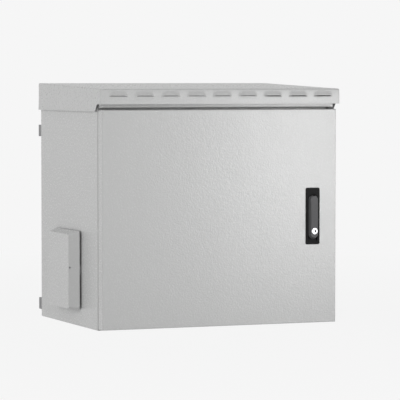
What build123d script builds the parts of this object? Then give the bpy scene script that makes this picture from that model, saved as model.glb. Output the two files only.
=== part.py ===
"""Outdoor rack cabinet for wall mounting, with a louvred roof, side weather hoods and a swing handle."""

import math
import os

from build123d import *

# Sheet metal
SHEET = 1.5
BEND = 1.5
RAIL_SHEET = 2.0
BRACKET_SHEET = 2.5
OVERRUN = 5.0

# Body shell
BODY_WIDTH = 600.0
BODY_DEPTH = 410.0
BODY_HEIGHT = 545.0
FLANGE_WIDTH = 38.0
FLANGE_TOP_DROP = 2.0
LIP_REACH = 21.0
GUTTER_DEPTH = 16.0
FOREHEAD_AHEAD = 14.0
REAR_FLANGE = 15.0

# Door
DOOR_GAP = 5.5
DOOR_DEPTH = 28.5
DOOR_BOTTOM = 3.0
DOOR_TOP_DROP = 27.0
DOOR_EDGE = 2.5
DOOR_HEAD_GAP = 4.0
SEAL_INSET = 22.0
SEAL_WIDTH = 12.0
SEAL_CORNER = 12.0
SEAL_CLEAR = 0.3

# Roof canopy
ROOF_SIDE_OVERHANG = 7.0
ROOF_FRONT_OVERHANG = 6.0
ROOF_FRONT_RISE = 22.0
ROOF_FALL = 13.0
ROOF_FRONT_SKIRT = 36.0
ROOF_SIDE_SKIRT = 53.0
ROOF_REAR_CLEAR = 1.0
ROOF_EDGE = 3.0
NOTCH_TOP_BACK = 0.5
NOTCH_BACK = 16.0
LOUVRE_END = 18.0
LOUVRE_PITCH = 65.5
LOUVRE_WIDTH = 50.0
LOUVRE_LIP_WIDTH = 38.0
LOUVRE_DROP = 18.5
LOUVRE_HEIGHT = 14.0
LOUVRE_LIP_HEIGHT = 2.5
LOUVRE_REACH = 5.0
LOUVRE_SLOT = 2.0
ROOF_POST_IN = 30.0
ROOF_POST_FRONT = 60.0
ROOF_POST_REAR = 45.0
ROOF_POST_RADIUS = 8.0

# Side weather hoods and filters
HOOD_LENGTH = 180.0
HOOD_HEIGHT = 187.5
HOOD_CENTRE_BACK = 202.0
HOOD_BOTTOM = 40.5
HOOD_STANDOFF = 4.7
HOOD_REACH = 28.0
HOOD_BEVEL = 15.0
HOOD_TOP_BEVEL = 8.0
HOOD_BOTTOM_BEVEL = 1.0
HOOD_CORNER = 8.0
HOOD_CLIP_HEIGHT = 24.0
HOOD_CLIP_FOOT = 14.0
HOOD_CLIP_SEAT = 8.0
VENT_SIZE = 108.0
FILTER_OVERLAP = 11.0
FILTER_DEPTH = 12.0
FILTER_LIP = 2.0

# Wall brackets
BRACKET_DEPTH = 20.0
BRACKET_WIDTH = 60.0
BRACKET_HEIGHT = 28.5
BRACKET_LOWER = 30.8
BRACKET_UPPER_DROP = 82.8
WALL_BOLT_RADIUS = 5.0

# Rack rails
RACK_SPACE = 44.45
RACK_HOLE_IN = 67.45
RACK_HOLE = 9.5
RACK_HOLE_SHARES = (1 / 7, 1 / 2, 6 / 7)
RAIL_MARGIN = 26.0
RAIL_FACE = 40.0
RAIL_HOLE_INSET = 10.0
RAIL_RETURN = 36.0
RAIL_FRONT_BACK = 45.0
SUPPORT_HEIGHT = 18.0
SUPPORT_FOOT = 10.0
SUPPORT_CLEAR = 3.25
SUPPORT_UPPER_DROP = 49.5
SUPPORT_OVERHANG = 12.0
SUPPORT_AHEAD = 33.0

# Concealed hinges
HINGE_AXIS_IN = 8.0
HINGE_AXIS_BACK = 14.5
HINGE_END = 92.0
HINGE_PIN_RADIUS = 2.5
HINGE_EYE_RADIUS = 4.5
HINGE_ARM_HEIGHT = 12.0
HINGE_ARM_SHEET = 4.0
HINGE_ARM_OUT = 17.5
HINGE_ARM_DROP = 1.5
HINGE_EAR = 4.0
HINGE_EAR_GAP = 0.3
HINGE_EAR_REACH = 4.5
HINGE_WEB_BACK = 6.0
HINGE_FOOT = 30.0
HINGE_FOOT_WIDTH = 11.0
HINGE_FOOT_SHEET = 3.0
FIT = 0.05

# Swing handle
HANDLE_IN = 62.0
HANDLE_WIDTH = 36.4
HANDLE_HEIGHT = 136.5
HANDLE_CORNER = 4.0
HANDLE_EDGE = 1.2
RIM_PROUD = 3.0
TUB_SIDE = 4.7
TUB_END = 5.25
TUB_DEPTH = 13.0
CUTOUT_CLEAR = 0.5
DISH_SIDE = 1.5
DISH_LEFT = 13.2
DISH_SLOPE = 11.2
DISH_RAMP = 18.0
DISH_BOTTOM_RISE = 5.0
DISH_FLOOR = 4.0
WELL_RADIUS = 8.5
SPINDLE_HEAD_RADIUS = 7.8
SPINDLE_HEAD_GAP = 0.3
SPINDLE_HEAD_DROP = 0.2
SPINDLE_RADIUS = 6.0
SPINDLE_COLLAR = 1.0
SPINDLE_SQUARE = 8.0
TONGUE_WIDTH = 6.0
TONGUE_RADIUS = 2.2
TONGUE_CLEAR = 0.4
LEVER_WIDTH = 17.6
LEVER_THICKNESS = 9.0
LEVER_FLARE = 3.4
LEVER_GAP = 0.6
LEVER_BOTTOM_RISE = 16.75
LEVER_PIN_RISE = 5.2
LEVER_TOP_DROP = 19.95
LEVER_RAMP = 1.2
LEVER_RAMP_HEIGHT = 28.0
LEVER_PIN_RADIUS = 1.1
LEVER_PIN_INSET = 0.6
LOCK_RISE = 15.7
LOCK_RING_RADIUS = 7.5
LOCK_RING = 1.2
LOCK_BODY = 6.0
LOCK_PLUG_RADIUS = 4.5
LOCK_CAM = 2.0
LOCK_CAM_REACH = 6.6
LOCK_CAM_WIDTH = 6.0
LOCK_CAM_GAP = 0.4
KEY_WIDTH = 1.6
KEY_HEIGHT = 5.6
KEY_DEPTH = 6.0
CAM_BEHIND_FLANGE = 3.0
CAM_SHEET = 3.0
CAM_LENGTH = 54.0
CAM_WIDTH = 18.0
CAM_HUB_RADIUS = 11.0
CAM_NUT = 5.0
CAM_NUT_RADIUS = 5.8
CLAMP_SHEET = 2.0
CLAMP_HEIGHT = 11.0
CLAMP_SIDE_GAP = 1.0
CLAMP_INSET = 6.0

# Fan in the top panel
FAN_SIZE = 119.0
FAN_DEPTH = 25.0
FAN_WALL = 2.5
FAN_TIP_GAP = 2.5
FAN_HUB_RADIUS = 20.0
FAN_MOTOR_SIZE = 40.0
FAN_MOTOR = 4.0
FAN_STRUT = 4.0
FAN_SHAFT_RADIUS = 2.5
FAN_END_GAP = 0.5
FAN_TOP_GAP = 2.5
FAN_BLADES = 5
FAN_BLADE_SHEET = 2.0
FAN_BLADE_CHORD = 20.0
FAN_BLADE_PITCH_DEG = 50.0
GRILLE_EDGE = 5.0
GRILLE_SLOT = 8.0
GRILLE_PITCH = 14.0

# Cable entry and earth stud
ENTRY_LENGTH = 260.0
ENTRY_WIDTH = 70.0
ENTRY_AHEAD = 90.0
ENTRY_BORDER = 15.0
ENTRY_SHEET = 2.0
STUD_OUT = 45.0
STUD_AHEAD = 60.0
STUD_RADIUS = 3.0
STUD_LENGTH = 18.0
STUD_NUT = 5.0
STUD_NUT_RADIUS = 5.8

# Positions that follow from the sizes above
HALF_WIDTH = BODY_WIDTH / 2
DOOR_TOP = BODY_HEIGHT - DOOR_TOP_DROP
INNER_HALF = HALF_WIDTH - SHEET
LIP_X = HALF_WIDTH - FLANGE_WIDTH
LIP_INNER_X = LIP_X - SHEET
HANDLE_PROUD = RIM_PROUD + LEVER_GAP + LEVER_THICKNESS + LOCK_RING
TOTAL_DEPTH = HANDLE_PROUD + DOOR_DEPTH + DOOR_GAP + BODY_DEPTH + BRACKET_DEPTH
Y_DOOR = HANDLE_PROUD - TOTAL_DEPTH / 2
Y_FLANGE = Y_DOOR + DOOR_DEPTH + DOOR_GAP
Y_REAR = Y_FLANGE + BODY_DEPTH
Y_WALL = Y_REAR + BRACKET_DEPTH
Y_LIP = Y_FLANGE - LIP_REACH
Y_FOREHEAD = Y_FLANGE - FOREHEAD_AHEAD
Y_ROOF = Y_DOOR - ROOF_FRONT_OVERHANG
Z_HEAD = DOOR_TOP + DOOR_HEAD_GAP
Z_FLANGE_TOP = DOOR_TOP - FLANGE_TOP_DROP
Z_LIP_BOTTOM = DOOR_BOTTOM + SEAL_INSET
Z_LIP_TOP = DOOR_TOP - SEAL_INSET
BEND_ZONE = SHEET + BEND
ROOF_HALF = HALF_WIDTH + ROOF_SIDE_OVERHANG
Z_ROOF_FRONT = BODY_HEIGHT + ROOF_FRONT_RISE
Z_ROOF_REAR = Z_ROOF_FRONT + ROOF_FALL
Z_FRONT_SKIRT = Z_ROOF_FRONT - ROOF_FRONT_SKIRT
Z_SIDE_SKIRT = Z_ROOF_FRONT - ROOF_SIDE_SKIRT
Z_LOUVRE = Z_ROOF_FRONT - LOUVRE_DROP
LOUVRE_RUN = (ROOF_HALF - LOUVRE_END) * 2 - LOUVRE_WIDTH
LOUVRE_COUNT = int(LOUVRE_RUN / LOUVRE_PITCH) + 1
ROOF_POST_X = HALF_WIDTH - ROOF_POST_IN
HOOD_Y = Y_FLANGE + HOOD_CENTRE_BACK
HOOD_Z = HOOD_BOTTOM + HOOD_HEIGHT / 2
FILTER_SIZE = VENT_SIZE + FILTER_OVERLAP * 2
BRACKET_X = HALF_WIDTH - BRACKET_WIDTH / 2
BRACKET_UPPER = BODY_HEIGHT - BRACKET_UPPER_DROP
RACK_ROOM = Z_LIP_TOP - Z_LIP_BOTTOM - RAIL_MARGIN * 2
RACK_UNITS = int(RACK_ROOM / RACK_SPACE)
RACK_CENTRE = (DOOR_BOTTOM + DOOR_TOP) / 2
RACK_BOTTOM = RACK_CENTRE - RACK_SPACE * RACK_UNITS / 2
RACK_TOP = RACK_CENTRE + RACK_SPACE * RACK_UNITS / 2
RACK_HOLE_SPACING = BODY_WIDTH - RACK_HOLE_IN * 2
SUPPORT_HALF = SUPPORT_HEIGHT / 2 + SUPPORT_FOOT
SUPPORT_LOWER = HOOD_Z - FILTER_SIZE / 2 - SUPPORT_CLEAR - SUPPORT_HALF
SUPPORT_UPPER = RACK_TOP + RAIL_MARGIN - SUPPORT_UPPER_DROP
RAIL_INNER_X = RACK_HOLE_SPACING / 2 - RAIL_HOLE_INSET
RAIL_OUTER_X = RAIL_INNER_X + RAIL_FACE
Y_RAIL_FRONT = Y_FLANGE + RAIL_FRONT_BACK
HINGE_X = HINGE_AXIS_IN - HALF_WIDTH
HINGE_Y = Y_DOOR + HINGE_AXIS_BACK
HINGE_LOWER = DOOR_BOTTOM + HINGE_END
HINGE_UPPER = DOOR_TOP - HINGE_END
HANDLE_X = HALF_WIDTH - HANDLE_IN
HANDLE_Z = (DOOR_BOTTOM + DOOR_TOP) / 2
HANDLE_TOP = HANDLE_Z + HANDLE_HEIGHT / 2
HANDLE_BOTTOM = HANDLE_Z - HANDLE_HEIGHT / 2
TUB_WIDTH = HANDLE_WIDTH - TUB_SIDE * 2
TUB_HEIGHT = HANDLE_HEIGHT - TUB_END * 2
DISH_WIDTH = TUB_WIDTH - DISH_SIDE * 2
LEVER_TOP = HANDLE_TOP - LEVER_TOP_DROP
LEVER_HEAD_RADIUS = LEVER_PIN_RISE - LEVER_GAP
LEVER_PIN_AHEAD = LEVER_GAP + LEVER_THICKNESS - LEVER_RAMP - LEVER_PIN_RISE
SPINDLE_Z = LEVER_TOP - math.sqrt(LEVER_HEAD_RADIUS**2 - LEVER_PIN_AHEAD**2)
LEVER_BOTTOM = HANDLE_BOTTOM + LEVER_BOTTOM_RISE
LOCK_Z = LEVER_BOTTOM + LOCK_RISE
Y_RIM = Y_DOOR - RIM_PROUD
Y_TUB = Y_DOOR + TUB_DEPTH
Y_DISH = Y_TUB - DISH_FLOOR
Y_LEVER_BACK = Y_RIM - LEVER_GAP
Y_LEVER_FRONT = Y_LEVER_BACK - LEVER_THICKNESS
Y_LEVER_PIN = Y_RIM - LEVER_PIN_RISE
Y_SPINDLE_HEAD = Y_DOOR - SPINDLE_HEAD_DROP
Y_CAM = Y_FLANGE + SHEET + CAM_BEHIND_FLANGE
FAN_Y = (Y_FLANGE + Y_REAR) / 2
Z_FAN_TOP = BODY_HEIGHT - SHEET
Z_FAN_BOTTOM = Z_FAN_TOP - FAN_DEPTH
FAN_BORE_RADIUS = FAN_SIZE / 2 - FAN_WALL
FAN_TIP_RADIUS = FAN_BORE_RADIUS - FAN_TIP_GAP
GRILLE_RADIUS = FAN_BORE_RADIUS - GRILLE_EDGE
GRILLE_SLOTS = int(GRILLE_RADIUS * 2 / GRILLE_PITCH)
ENTRY_Y = Y_REAR - ENTRY_AHEAD
STUD_X = -ENTRY_LENGTH / 2 - ENTRY_BORDER - STUD_OUT
STUD_Y = Y_REAR - STUD_AHEAD


# Shared shaping helpers


def block(x0, x1, y0, y1, z0, z1):
    """A box between two limits on each axis."""
    middle = Pos((x0 + x1) / 2, (y0 + y1) / 2, (z0 + z1) / 2)
    return middle * Box(x1 - x0, y1 - y0, z1 - z0)


def rod_x(y, z, x0, x1, radius):
    """A cylinder along X."""
    return Pos((x0 + x1) / 2, y, z) * Rot(0, 90, 0) * Cylinder(radius, x1 - x0)


def rod_y(x, z, y0, y1, radius):
    """A cylinder along Y."""
    return Pos(x, (y0 + y1) / 2, z) * Rot(90, 0, 0) * Cylinder(radius, y1 - y0)


def rod_z(x, y, z0, z1, radius):
    """A cylinder along Z."""
    return Pos(x, y, (z0 + z1) / 2) * Cylinder(radius, z1 - z0)


def upright(section, z0, z1):
    """A plan section drawn up along Z."""
    return extrude(Pos(0, 0, z0) * section, z1 - z0)


def across(section, x0, x1):
    """A side section in Y and Z drawn out along X."""
    return extrude(Plane.YZ.offset(x0) * section, x1 - x0)


def frontal(section, y0, y1):
    """A front section in X and Z drawn out along Y."""
    return extrude(Plane.XZ.offset(-y1) * section, y1 - y0)


def left_of(path, gap):
    """The points of a path moved to its left by a gap, with mitred corners."""
    normals = []
    for (x0, y0), (x1, y1) in zip(path, path[1:]):
        run = math.hypot(x1 - x0, y1 - y0)
        normals.append(((y0 - y1) / run, (x1 - x0) / run))
    before = [normals[0]] + normals
    after = normals + [normals[-1]]
    moved = []
    for (x, y), (ax, ay), (bx, by) in zip(path, before, after):
        reach = gap / (1 + ax * bx + ay * by)
        moved.append((x + (ax + bx) * reach, y + (ay + by) * reach))
    return moved


def sheet_section(path, gauge, bend):
    """The section of a folded sheet that lies to the left of a path, with a radius at each fold."""
    outside = bend + gauge if bend else 0
    near = []
    far = []
    for (x0, y0), (x1, y1), (x2, y2) in zip(path, path[1:], path[2:]):
        turn = (x1 - x0) * (y2 - y1) - (y1 - y0) * (x2 - x1)
        near.append(outside if turn > 0 else bend)
        far.append(bend if turn > 0 else outside)
    corners = path + left_of(path, gauge)[::-1]
    radii = [0] + near + [0, 0] + far[::-1] + [0]
    return make_face(FilletPolyline(*corners, radius=radii, close=True))


def polygon(points):
    """A flat face from its corners."""
    return make_face(Polyline(*points, close=True))


def ring(outer, inner):
    """A flat face with a like opening in it."""
    return outer - inner


def hexagon_rod(radius, height):
    """A six-sided bar on the Z axis, by its corner radius, from zero up."""
    return extrude(RegularPolygon(radius, 6), height)


def to_right(shape):
    """The mirror image of a left-hand piece."""
    return mirror(shape, about=Plane.YZ)


def group(shapes):
    """Several separate solids as one piece."""
    solids = []
    for shape in shapes:
        solids.extend(shape.solids())
    return Compound(children=solids)


# Body shell


def side_wall_left():
    """One folded sheet: wall, front flange and sealing lip, with the filter opening."""
    path = [(-HALF_WIDTH, Y_REAR), (-HALF_WIDTH, Y_FLANGE), (-LIP_X, Y_FLANGE), (-LIP_X, Y_LIP)]
    wall = upright(sheet_section(path, SHEET, BEND), 0, BODY_HEIGHT)
    above = (Z_FLANGE_TOP, BODY_HEIGHT + OVERRUN)
    wall -= block(-INNER_HALF, OVERRUN - LIP_X, Y_LIP - OVERRUN, Y_FLANGE + BEND_ZONE, *above)
    for z0, z1 in ((-OVERRUN, Z_LIP_BOTTOM), (Z_LIP_TOP, BODY_HEIGHT)):
        wall -= block(-LIP_X - OVERRUN, OVERRUN - LIP_X, Y_LIP - OVERRUN, Y_FLANGE, z0, z1)
    half = VENT_SIZE / 2
    span_y = (HOOD_Y - half, HOOD_Y + half)
    span_z = (HOOD_Z - half, HOOD_Z + half)
    wall -= block(-HALF_WIDTH - OVERRUN, OVERRUN - INNER_HALF, *span_y, *span_z)
    return wall


def corner_relief(z0, z1):
    """The room that the side walls' front flanges take out of a floor or top sheet."""
    room = []
    for side in (-1, 1):
        x0, x1 = sorted((side * LIP_INNER_X, side * (HALF_WIDTH + OVERRUN)))
        room.append(block(x0, x1, Y_LIP - OVERRUN, Y_FLANGE + BEND_ZONE, z0, z1))
    return room


def floor_panel():
    """One folded sheet: floor, front flange and sealing lip, with the cable opening."""
    path = [(Y_LIP, Z_LIP_BOTTOM), (Y_FLANGE, Z_LIP_BOTTOM), (Y_FLANGE, 0), (Y_REAR, 0)]
    floor = across(sheet_section(path, SHEET, BEND), -INNER_HALF, INNER_HALF)
    for room in corner_relief(-OVERRUN, Z_LIP_BOTTOM + OVERRUN):
        floor -= room
    length = ENTRY_LENGTH / 2
    width = ENTRY_WIDTH / 2
    floor -= block(-length, length, ENTRY_Y - width, ENTRY_Y + width, -OVERRUN, SHEET + OVERRUN)
    return floor


def fan_grille():
    """The slots over the fan, each as long as the chord of the fan's circle."""
    slots = Sketch()
    for step in range(GRILLE_SLOTS):
        along = (step - (GRILLE_SLOTS - 1) / 2) * GRILLE_PITCH
        chord = 2 * math.sqrt(GRILLE_RADIUS**2 - along**2)
        slots += Pos(along, FAN_Y) * Rectangle(GRILLE_SLOT, chord)
    return upright(slots, BODY_HEIGHT - SHEET - OVERRUN, BODY_HEIGHT + OVERRUN)


def roof_posts():
    """The plan positions of the four posts that carry the roof."""
    return [
        (side * ROOF_POST_X, y)
        for side in (-1, 1)
        for y in (Y_FLANGE + ROOF_POST_FRONT, Y_REAR - ROOF_POST_REAR)
    ]


def top_panel():
    """One folded sheet: top, forehead with closed ends, rain gutter and sealing lip, with the fan slots."""
    path = [
        (Y_REAR, BODY_HEIGHT),
        (Y_FOREHEAD, BODY_HEIGHT),
        (Y_FOREHEAD, Z_HEAD),
        (Y_FLANGE + GUTTER_DEPTH, Z_HEAD),
        (Y_FLANGE + GUTTER_DEPTH, Z_LIP_TOP),
        (Y_LIP, Z_LIP_TOP),
    ]
    top = across(sheet_section(path, SHEET, BEND), -INNER_HALF, INNER_HALF)
    for room in corner_relief(Z_LIP_TOP - OVERRUN, Z_HEAD):
        top -= room
    top += block(-HALF_WIDTH, -INNER_HALF, Y_FOREHEAD, Y_FLANGE, Z_HEAD, BODY_HEIGHT)
    top += block(INNER_HALF, HALF_WIDTH, Y_FOREHEAD, Y_FLANGE, Z_HEAD, BODY_HEIGHT)
    return top - fan_grille()


def wall_bolt_places():
    """The four wall bolts, as X and Z."""
    return [(side * BRACKET_X, z) for side in (-1, 1) for z in (BRACKET_LOWER, BRACKET_UPPER)]


def rear_wall():
    """A shallow tray with its edges turned forward, welded in at the back."""
    top = BODY_HEIGHT - SHEET
    tray = block(-INNER_HALF, INNER_HALF, Y_REAR - REAR_FLANGE, Y_REAR, SHEET, top)
    half = INNER_HALF - SHEET
    tray -= block(-half, half, Y_REAR - REAR_FLANGE - OVERRUN, Y_REAR - SHEET, SHEET + SHEET, top - SHEET)
    for x, z in wall_bolt_places():
        tray -= rod_y(x, z, Y_REAR - SHEET - OVERRUN, Y_REAR + OVERRUN, WALL_BOLT_RADIUS)
    return tray


def wall_bracket_left(z):
    """A channel that stands the cabinet off the wall, with a bolt hole in its web."""
    inner = BRACKET_WIDTH - HALF_WIDTH
    path = [(inner, Y_REAR), (inner, Y_WALL), (-HALF_WIDTH, Y_WALL), (-HALF_WIDTH, Y_REAR)]
    half = BRACKET_HEIGHT / 2
    channel = upright(sheet_section(path, BRACKET_SHEET, 0), z - half, z + half)
    ahead = Y_WALL - BRACKET_SHEET - OVERRUN
    return channel - rod_y(-BRACKET_X, z, ahead, Y_WALL + OVERRUN, WALL_BOLT_RADIUS)


# Roof canopy


def roof_block(inset, bottom):
    """The roof's solid outline with its edges still sharp, inset by a gauge on every side but the bottom."""
    outline = polygon(
        [
            (Y_ROOF + inset, bottom),
            (Y_REAR - inset, bottom),
            (Y_REAR - inset, Z_ROOF_REAR - inset),
            (Y_ROOF + inset, Z_ROOF_FRONT - inset),
        ]
    )
    half = ROOF_HALF - inset
    return across(outline, -half, half)


def louvre_body(x, inset, back, low):
    """One louvre's wedge, narrower towards its lip, from a back plane out and from a lower end up."""
    lip = Y_ROOF - LOUVRE_REACH + inset
    top = Z_LOUVRE + LOUVRE_HEIGHT
    lip_top = Z_LOUVRE + LOUVRE_LIP_HEIGHT
    side = polygon([(back, low), (lip, low), (lip, lip_top), (Y_ROOF + inset, top), (back, top)])
    wide = LOUVRE_WIDTH / 2 - inset
    narrow = LOUVRE_LIP_WIDTH / 2 - inset
    plan = polygon(
        [
            (x - wide, back),
            (x - wide, Y_ROOF + inset),
            (x - narrow, lip),
            (x + narrow, lip),
            (x + wide, Y_ROOF + inset),
            (x + wide, back),
        ]
    )
    return across(side, x - wide, x + wide) & upright(plan, low, top)


def roof_canopy():
    """The sloped roof with its skirts, front notches and row of louvres."""
    roof = roof_block(0, Z_SIDE_SKIRT)
    folds = [edge for edge in roof.edges() if edge.center().Z > Z_SIDE_SKIRT + BEND]
    roof = fillet(folds, ROOF_EDGE) - roof_block(SHEET, Z_SIDE_SKIRT - OVERRUN)
    ahead = Y_ROOF - LOUVRE_REACH - OVERRUN
    notch = polygon(
        [
            (ahead, Z_FRONT_SKIRT),
            (Y_FLANGE + NOTCH_TOP_BACK, Z_FRONT_SKIRT),
            (Y_FLANGE + NOTCH_BACK, Z_SIDE_SKIRT),
            (Y_FLANGE + NOTCH_BACK, Z_SIDE_SKIRT - OVERRUN),
            (ahead, Z_SIDE_SKIRT - OVERRUN),
        ]
    )
    roof -= across(notch, -ROOF_HALF - OVERRUN, ROOF_HALF + OVERRUN)
    inside = ROOF_HALF - ROOF_EDGE
    below = (Z_SIDE_SKIRT - OVERRUN, BODY_HEIGHT + ROOF_REAR_CLEAR)
    roof -= block(-inside, inside, Y_REAR - ROOF_EDGE - OVERRUN, Y_REAR + OVERRUN, *below)
    places = [(step - (LOUVRE_COUNT - 1) / 2) * LOUVRE_PITCH for step in range(LOUVRE_COUNT)]
    roof += [louvre_body(x, 0, Y_ROOF + SHEET / 2, Z_LOUVRE) for x in places]
    behind = Y_ROOF + SHEET + OVERRUN
    roof -= [louvre_body(x, SHEET, behind, Z_LOUVRE - LOUVRE_SLOT) for x in places]
    return roof


def roof_spacers():
    """Six-sided posts between the top panel and the roof, cut to the roof's slope."""
    below = roof_block(SHEET, Z_SIDE_SKIRT - OVERRUN)
    posts = []
    for x, y in roof_posts():
        post = Pos(x, y, BODY_HEIGHT) * hexagon_rod(ROOF_POST_RADIUS, Z_ROOF_REAR - BODY_HEIGHT)
        posts.append(post & below)
    return group(posts)


# Weather hoods and filters


def hood_block(inset):
    """The hood's bevelled outline on the left wall, inset by a gauge on every side but its open back."""
    rim = -HALF_WIDTH - HOOD_STANDOFF
    face = -HALF_WIDTH - HOOD_REACH + inset
    depth = HOOD_REACH - HOOD_STANDOFF
    share = (depth - inset) / depth
    half = HOOD_LENGTH / 2 - inset
    face_half = half - HOOD_BEVEL * share
    plan = polygon(
        [(rim, HOOD_Y - half), (rim, HOOD_Y + half), (face, HOOD_Y + face_half), (face, HOOD_Y - face_half)]
    )
    low = HOOD_BOTTOM + inset
    high = HOOD_BOTTOM + HOOD_HEIGHT - inset
    face_low = low + HOOD_BOTTOM_BEVEL * share
    face_high = high - HOOD_TOP_BEVEL * share
    side = polygon([(rim, low), (rim, high), (face, face_high), (face, face_low)])
    solid = upright(plan, low, high) & frontal(side, HOOD_Y - half, HOOD_Y + half)
    slanted = [e for e in solid.edges() if abs(e.center().X - (rim + face) / 2) < BEND]
    return fillet(slanted, HOOD_CORNER - inset)


def vent_hood_left():
    """The pressed weather hood, open towards the wall."""
    return hood_block(0) - hood_block(SHEET)


def hood_clip_left(side):
    """A folded clip: a foot on the wall, a leg, and a seat along the inside of the hood's bevel."""
    depth = HOOD_REACH - HOOD_STANDOFF
    slope_share = HOOD_BEVEL / depth
    rim = HOOD_LENGTH / 2 - SHEET + HOOD_STANDOFF * slope_share
    leg = HOOD_REACH - SHEET
    seat = leg - HOOD_CLIP_SEAT
    wall = -HALF_WIDTH
    inner = HOOD_Y - rim + seat * slope_share
    path = [
        (wall - leg, HOOD_Y - rim + leg * slope_share),
        (wall - seat, inner),
        (wall, inner),
        (wall, inner + HOOD_CLIP_FOOT),
    ]
    half = HOOD_CLIP_HEIGHT / 2
    clip = upright(sheet_section(path, SHEET, 0), HOOD_Z - half, HOOD_Z + half)
    clip -= hood_face_room()
    if side > 0:
        clip = mirror(clip, about=Plane.XZ.offset(-HOOD_Y))
    return clip


def hood_face_room():
    """The room beyond the hood's inner face, kept free of the clips."""
    face = -HALF_WIDTH - HOOD_REACH + SHEET
    half = HOOD_LENGTH / 2
    return block(face - OVERRUN, face, HOOD_Y - half, HOOD_Y + half, HOOD_BOTTOM, HOOD_BOTTOM + HOOD_HEIGHT)


def filter_frame_left():
    """A square frame inside the wall that holds the filter mat over the vent."""
    half = FILTER_SIZE / 2
    open_half = VENT_SIZE / 2
    inner = FILTER_DEPTH - INNER_HALF
    frame = block(-INNER_HALF, inner, HOOD_Y - half, HOOD_Y + half, HOOD_Z - half, HOOD_Z + half)
    room = half - FILTER_LIP
    frame -= block(
        -INNER_HALF - OVERRUN, inner - FILTER_LIP, HOOD_Y - room, HOOD_Y + room, HOOD_Z - room, HOOD_Z + room
    )
    span_y = (HOOD_Y - open_half, HOOD_Y + open_half)
    span_z = (HOOD_Z - open_half, HOOD_Z + open_half)
    return frame - block(-HALF_WIDTH, inner + OVERRUN, *span_y, *span_z)


def filter_mat_left():
    """The filter mat, held between the wall and the frame."""
    room = FILTER_SIZE / 2 - FILTER_LIP
    inner = FILTER_DEPTH - FILTER_LIP - INNER_HALF
    return block(-INNER_HALF, inner, HOOD_Y - room, HOOD_Y + room, HOOD_Z - room, HOOD_Z + room)


# Rack rails and their supports


def rack_rail_left():
    """An angle with the standard square holes in its front face."""
    path = [
        (-RAIL_OUTER_X, Y_RAIL_FRONT + RAIL_RETURN),
        (-RAIL_OUTER_X, Y_RAIL_FRONT),
        (-RAIL_INNER_X, Y_RAIL_FRONT),
    ]
    rail = upright(sheet_section(path, RAIL_SHEET, BEND), RACK_BOTTOM - RAIL_MARGIN, RACK_TOP + RAIL_MARGIN)
    holes = Sketch()
    for unit in range(RACK_UNITS):
        for share in RACK_HOLE_SHARES:
            z = RACK_BOTTOM + (unit + share) * RACK_SPACE
            holes += Pos(-RACK_HOLE_SPACING / 2, z) * Rectangle(RACK_HOLE, RACK_HOLE)
    return rail - frontal(holes, Y_RAIL_FRONT - OVERRUN, Y_RAIL_FRONT + RAIL_SHEET + OVERRUN)


def rail_support_left(z):
    """A hat section along the side wall, on which the rail can be set at any depth."""
    web = -RAIL_OUTER_X - RAIL_SHEET
    low = z - SUPPORT_HEIGHT / 2
    high = z + SUPPORT_HEIGHT / 2
    path = [
        (-INNER_HALF, high + SUPPORT_FOOT),
        (-INNER_HALF, high),
        (web, high),
        (web, low),
        (-INNER_HALF, low),
        (-INNER_HALF, low - SUPPORT_FOOT),
    ]
    section = sheet_section(path, RAIL_SHEET, 0)
    return frontal(section, Y_RAIL_FRONT - SUPPORT_OVERHANG, Y_REAR - SUPPORT_AHEAD)


# Door and hinges


def door_panel():
    """A pan with all four edges turned back, cut out for the handle."""
    door = block(-HALF_WIDTH, HALF_WIDTH, Y_DOOR, Y_DOOR + DOOR_DEPTH, DOOR_BOTTOM, DOOR_TOP)
    door = fillet([e for e in door.edges() if e.center().Y < Y_DOOR + BEND], DOOR_EDGE)
    back = Y_DOOR + DOOR_DEPTH + OVERRUN
    door -= block(-INNER_HALF, INNER_HALF, Y_DOOR + SHEET, back, DOOR_BOTTOM + SHEET, DOOR_TOP - SHEET)
    cutout = Pos(HANDLE_X, HANDLE_Z) * Rectangle(
        TUB_WIDTH + CUTOUT_CLEAR + CUTOUT_CLEAR, TUB_HEIGHT + CUTOUT_CLEAR + CUTOUT_CLEAR
    )
    return door - frontal(cutout, Y_DOOR - OVERRUN, Y_DOOR + SHEET + OVERRUN)


def door_gasket():
    """A foamed seal on the door's inner face that meets the body's lip."""
    mid_x = LIP_X - SHEET / 2
    tall = Z_LIP_TOP - Z_LIP_BOTTOM
    outer = RectangleRounded(mid_x * 2 + SEAL_WIDTH, tall + SEAL_WIDTH, SEAL_CORNER)
    inner = Rectangle(mid_x * 2 - SEAL_WIDTH, tall - SEAL_WIDTH)
    section = Pos(0, (Z_LIP_TOP + Z_LIP_BOTTOM) / 2) * ring(outer, inner)
    return frontal(section, Y_DOOR + SHEET, Y_LIP - SEAL_CLEAR)


def hinge_arm(z):
    """A bent arm from the body's flange round the door's edge to the hinge axis."""
    leg_x = HINGE_X + HINGE_ARM_OUT
    turn_y = HINGE_Y - HINGE_ARM_DROP
    path = [(leg_x, Y_FLANGE), (leg_x, turn_y), (HINGE_X, turn_y)]
    half = HINGE_ARM_HEIGHT / 2
    arm = upright(sheet_section(path, HINGE_ARM_SHEET, 0), z - half, z + half)
    arm += rod_z(HINGE_X, HINGE_Y, z - half, z + half, HINGE_EYE_RADIUS)
    foot = HINGE_FOOT / 2
    arm += block(leg_x, leg_x + HINGE_FOOT_WIDTH, Y_FLANGE - HINGE_FOOT_SHEET, Y_FLANGE, z - foot, z + foot)
    return arm - rod_z(HINGE_X, HINGE_Y, z - foot, z + foot, HINGE_PIN_RADIUS + FIT)


def hinge_pin(z):
    """The headless pin that joins the arm and the door's hinge bracket."""
    reach = HINGE_ARM_HEIGHT / 2 + HINGE_EAR_GAP + HINGE_EAR
    return rod_z(HINGE_X, HINGE_Y, z - reach, z + reach, HINGE_PIN_RADIUS)


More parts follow.
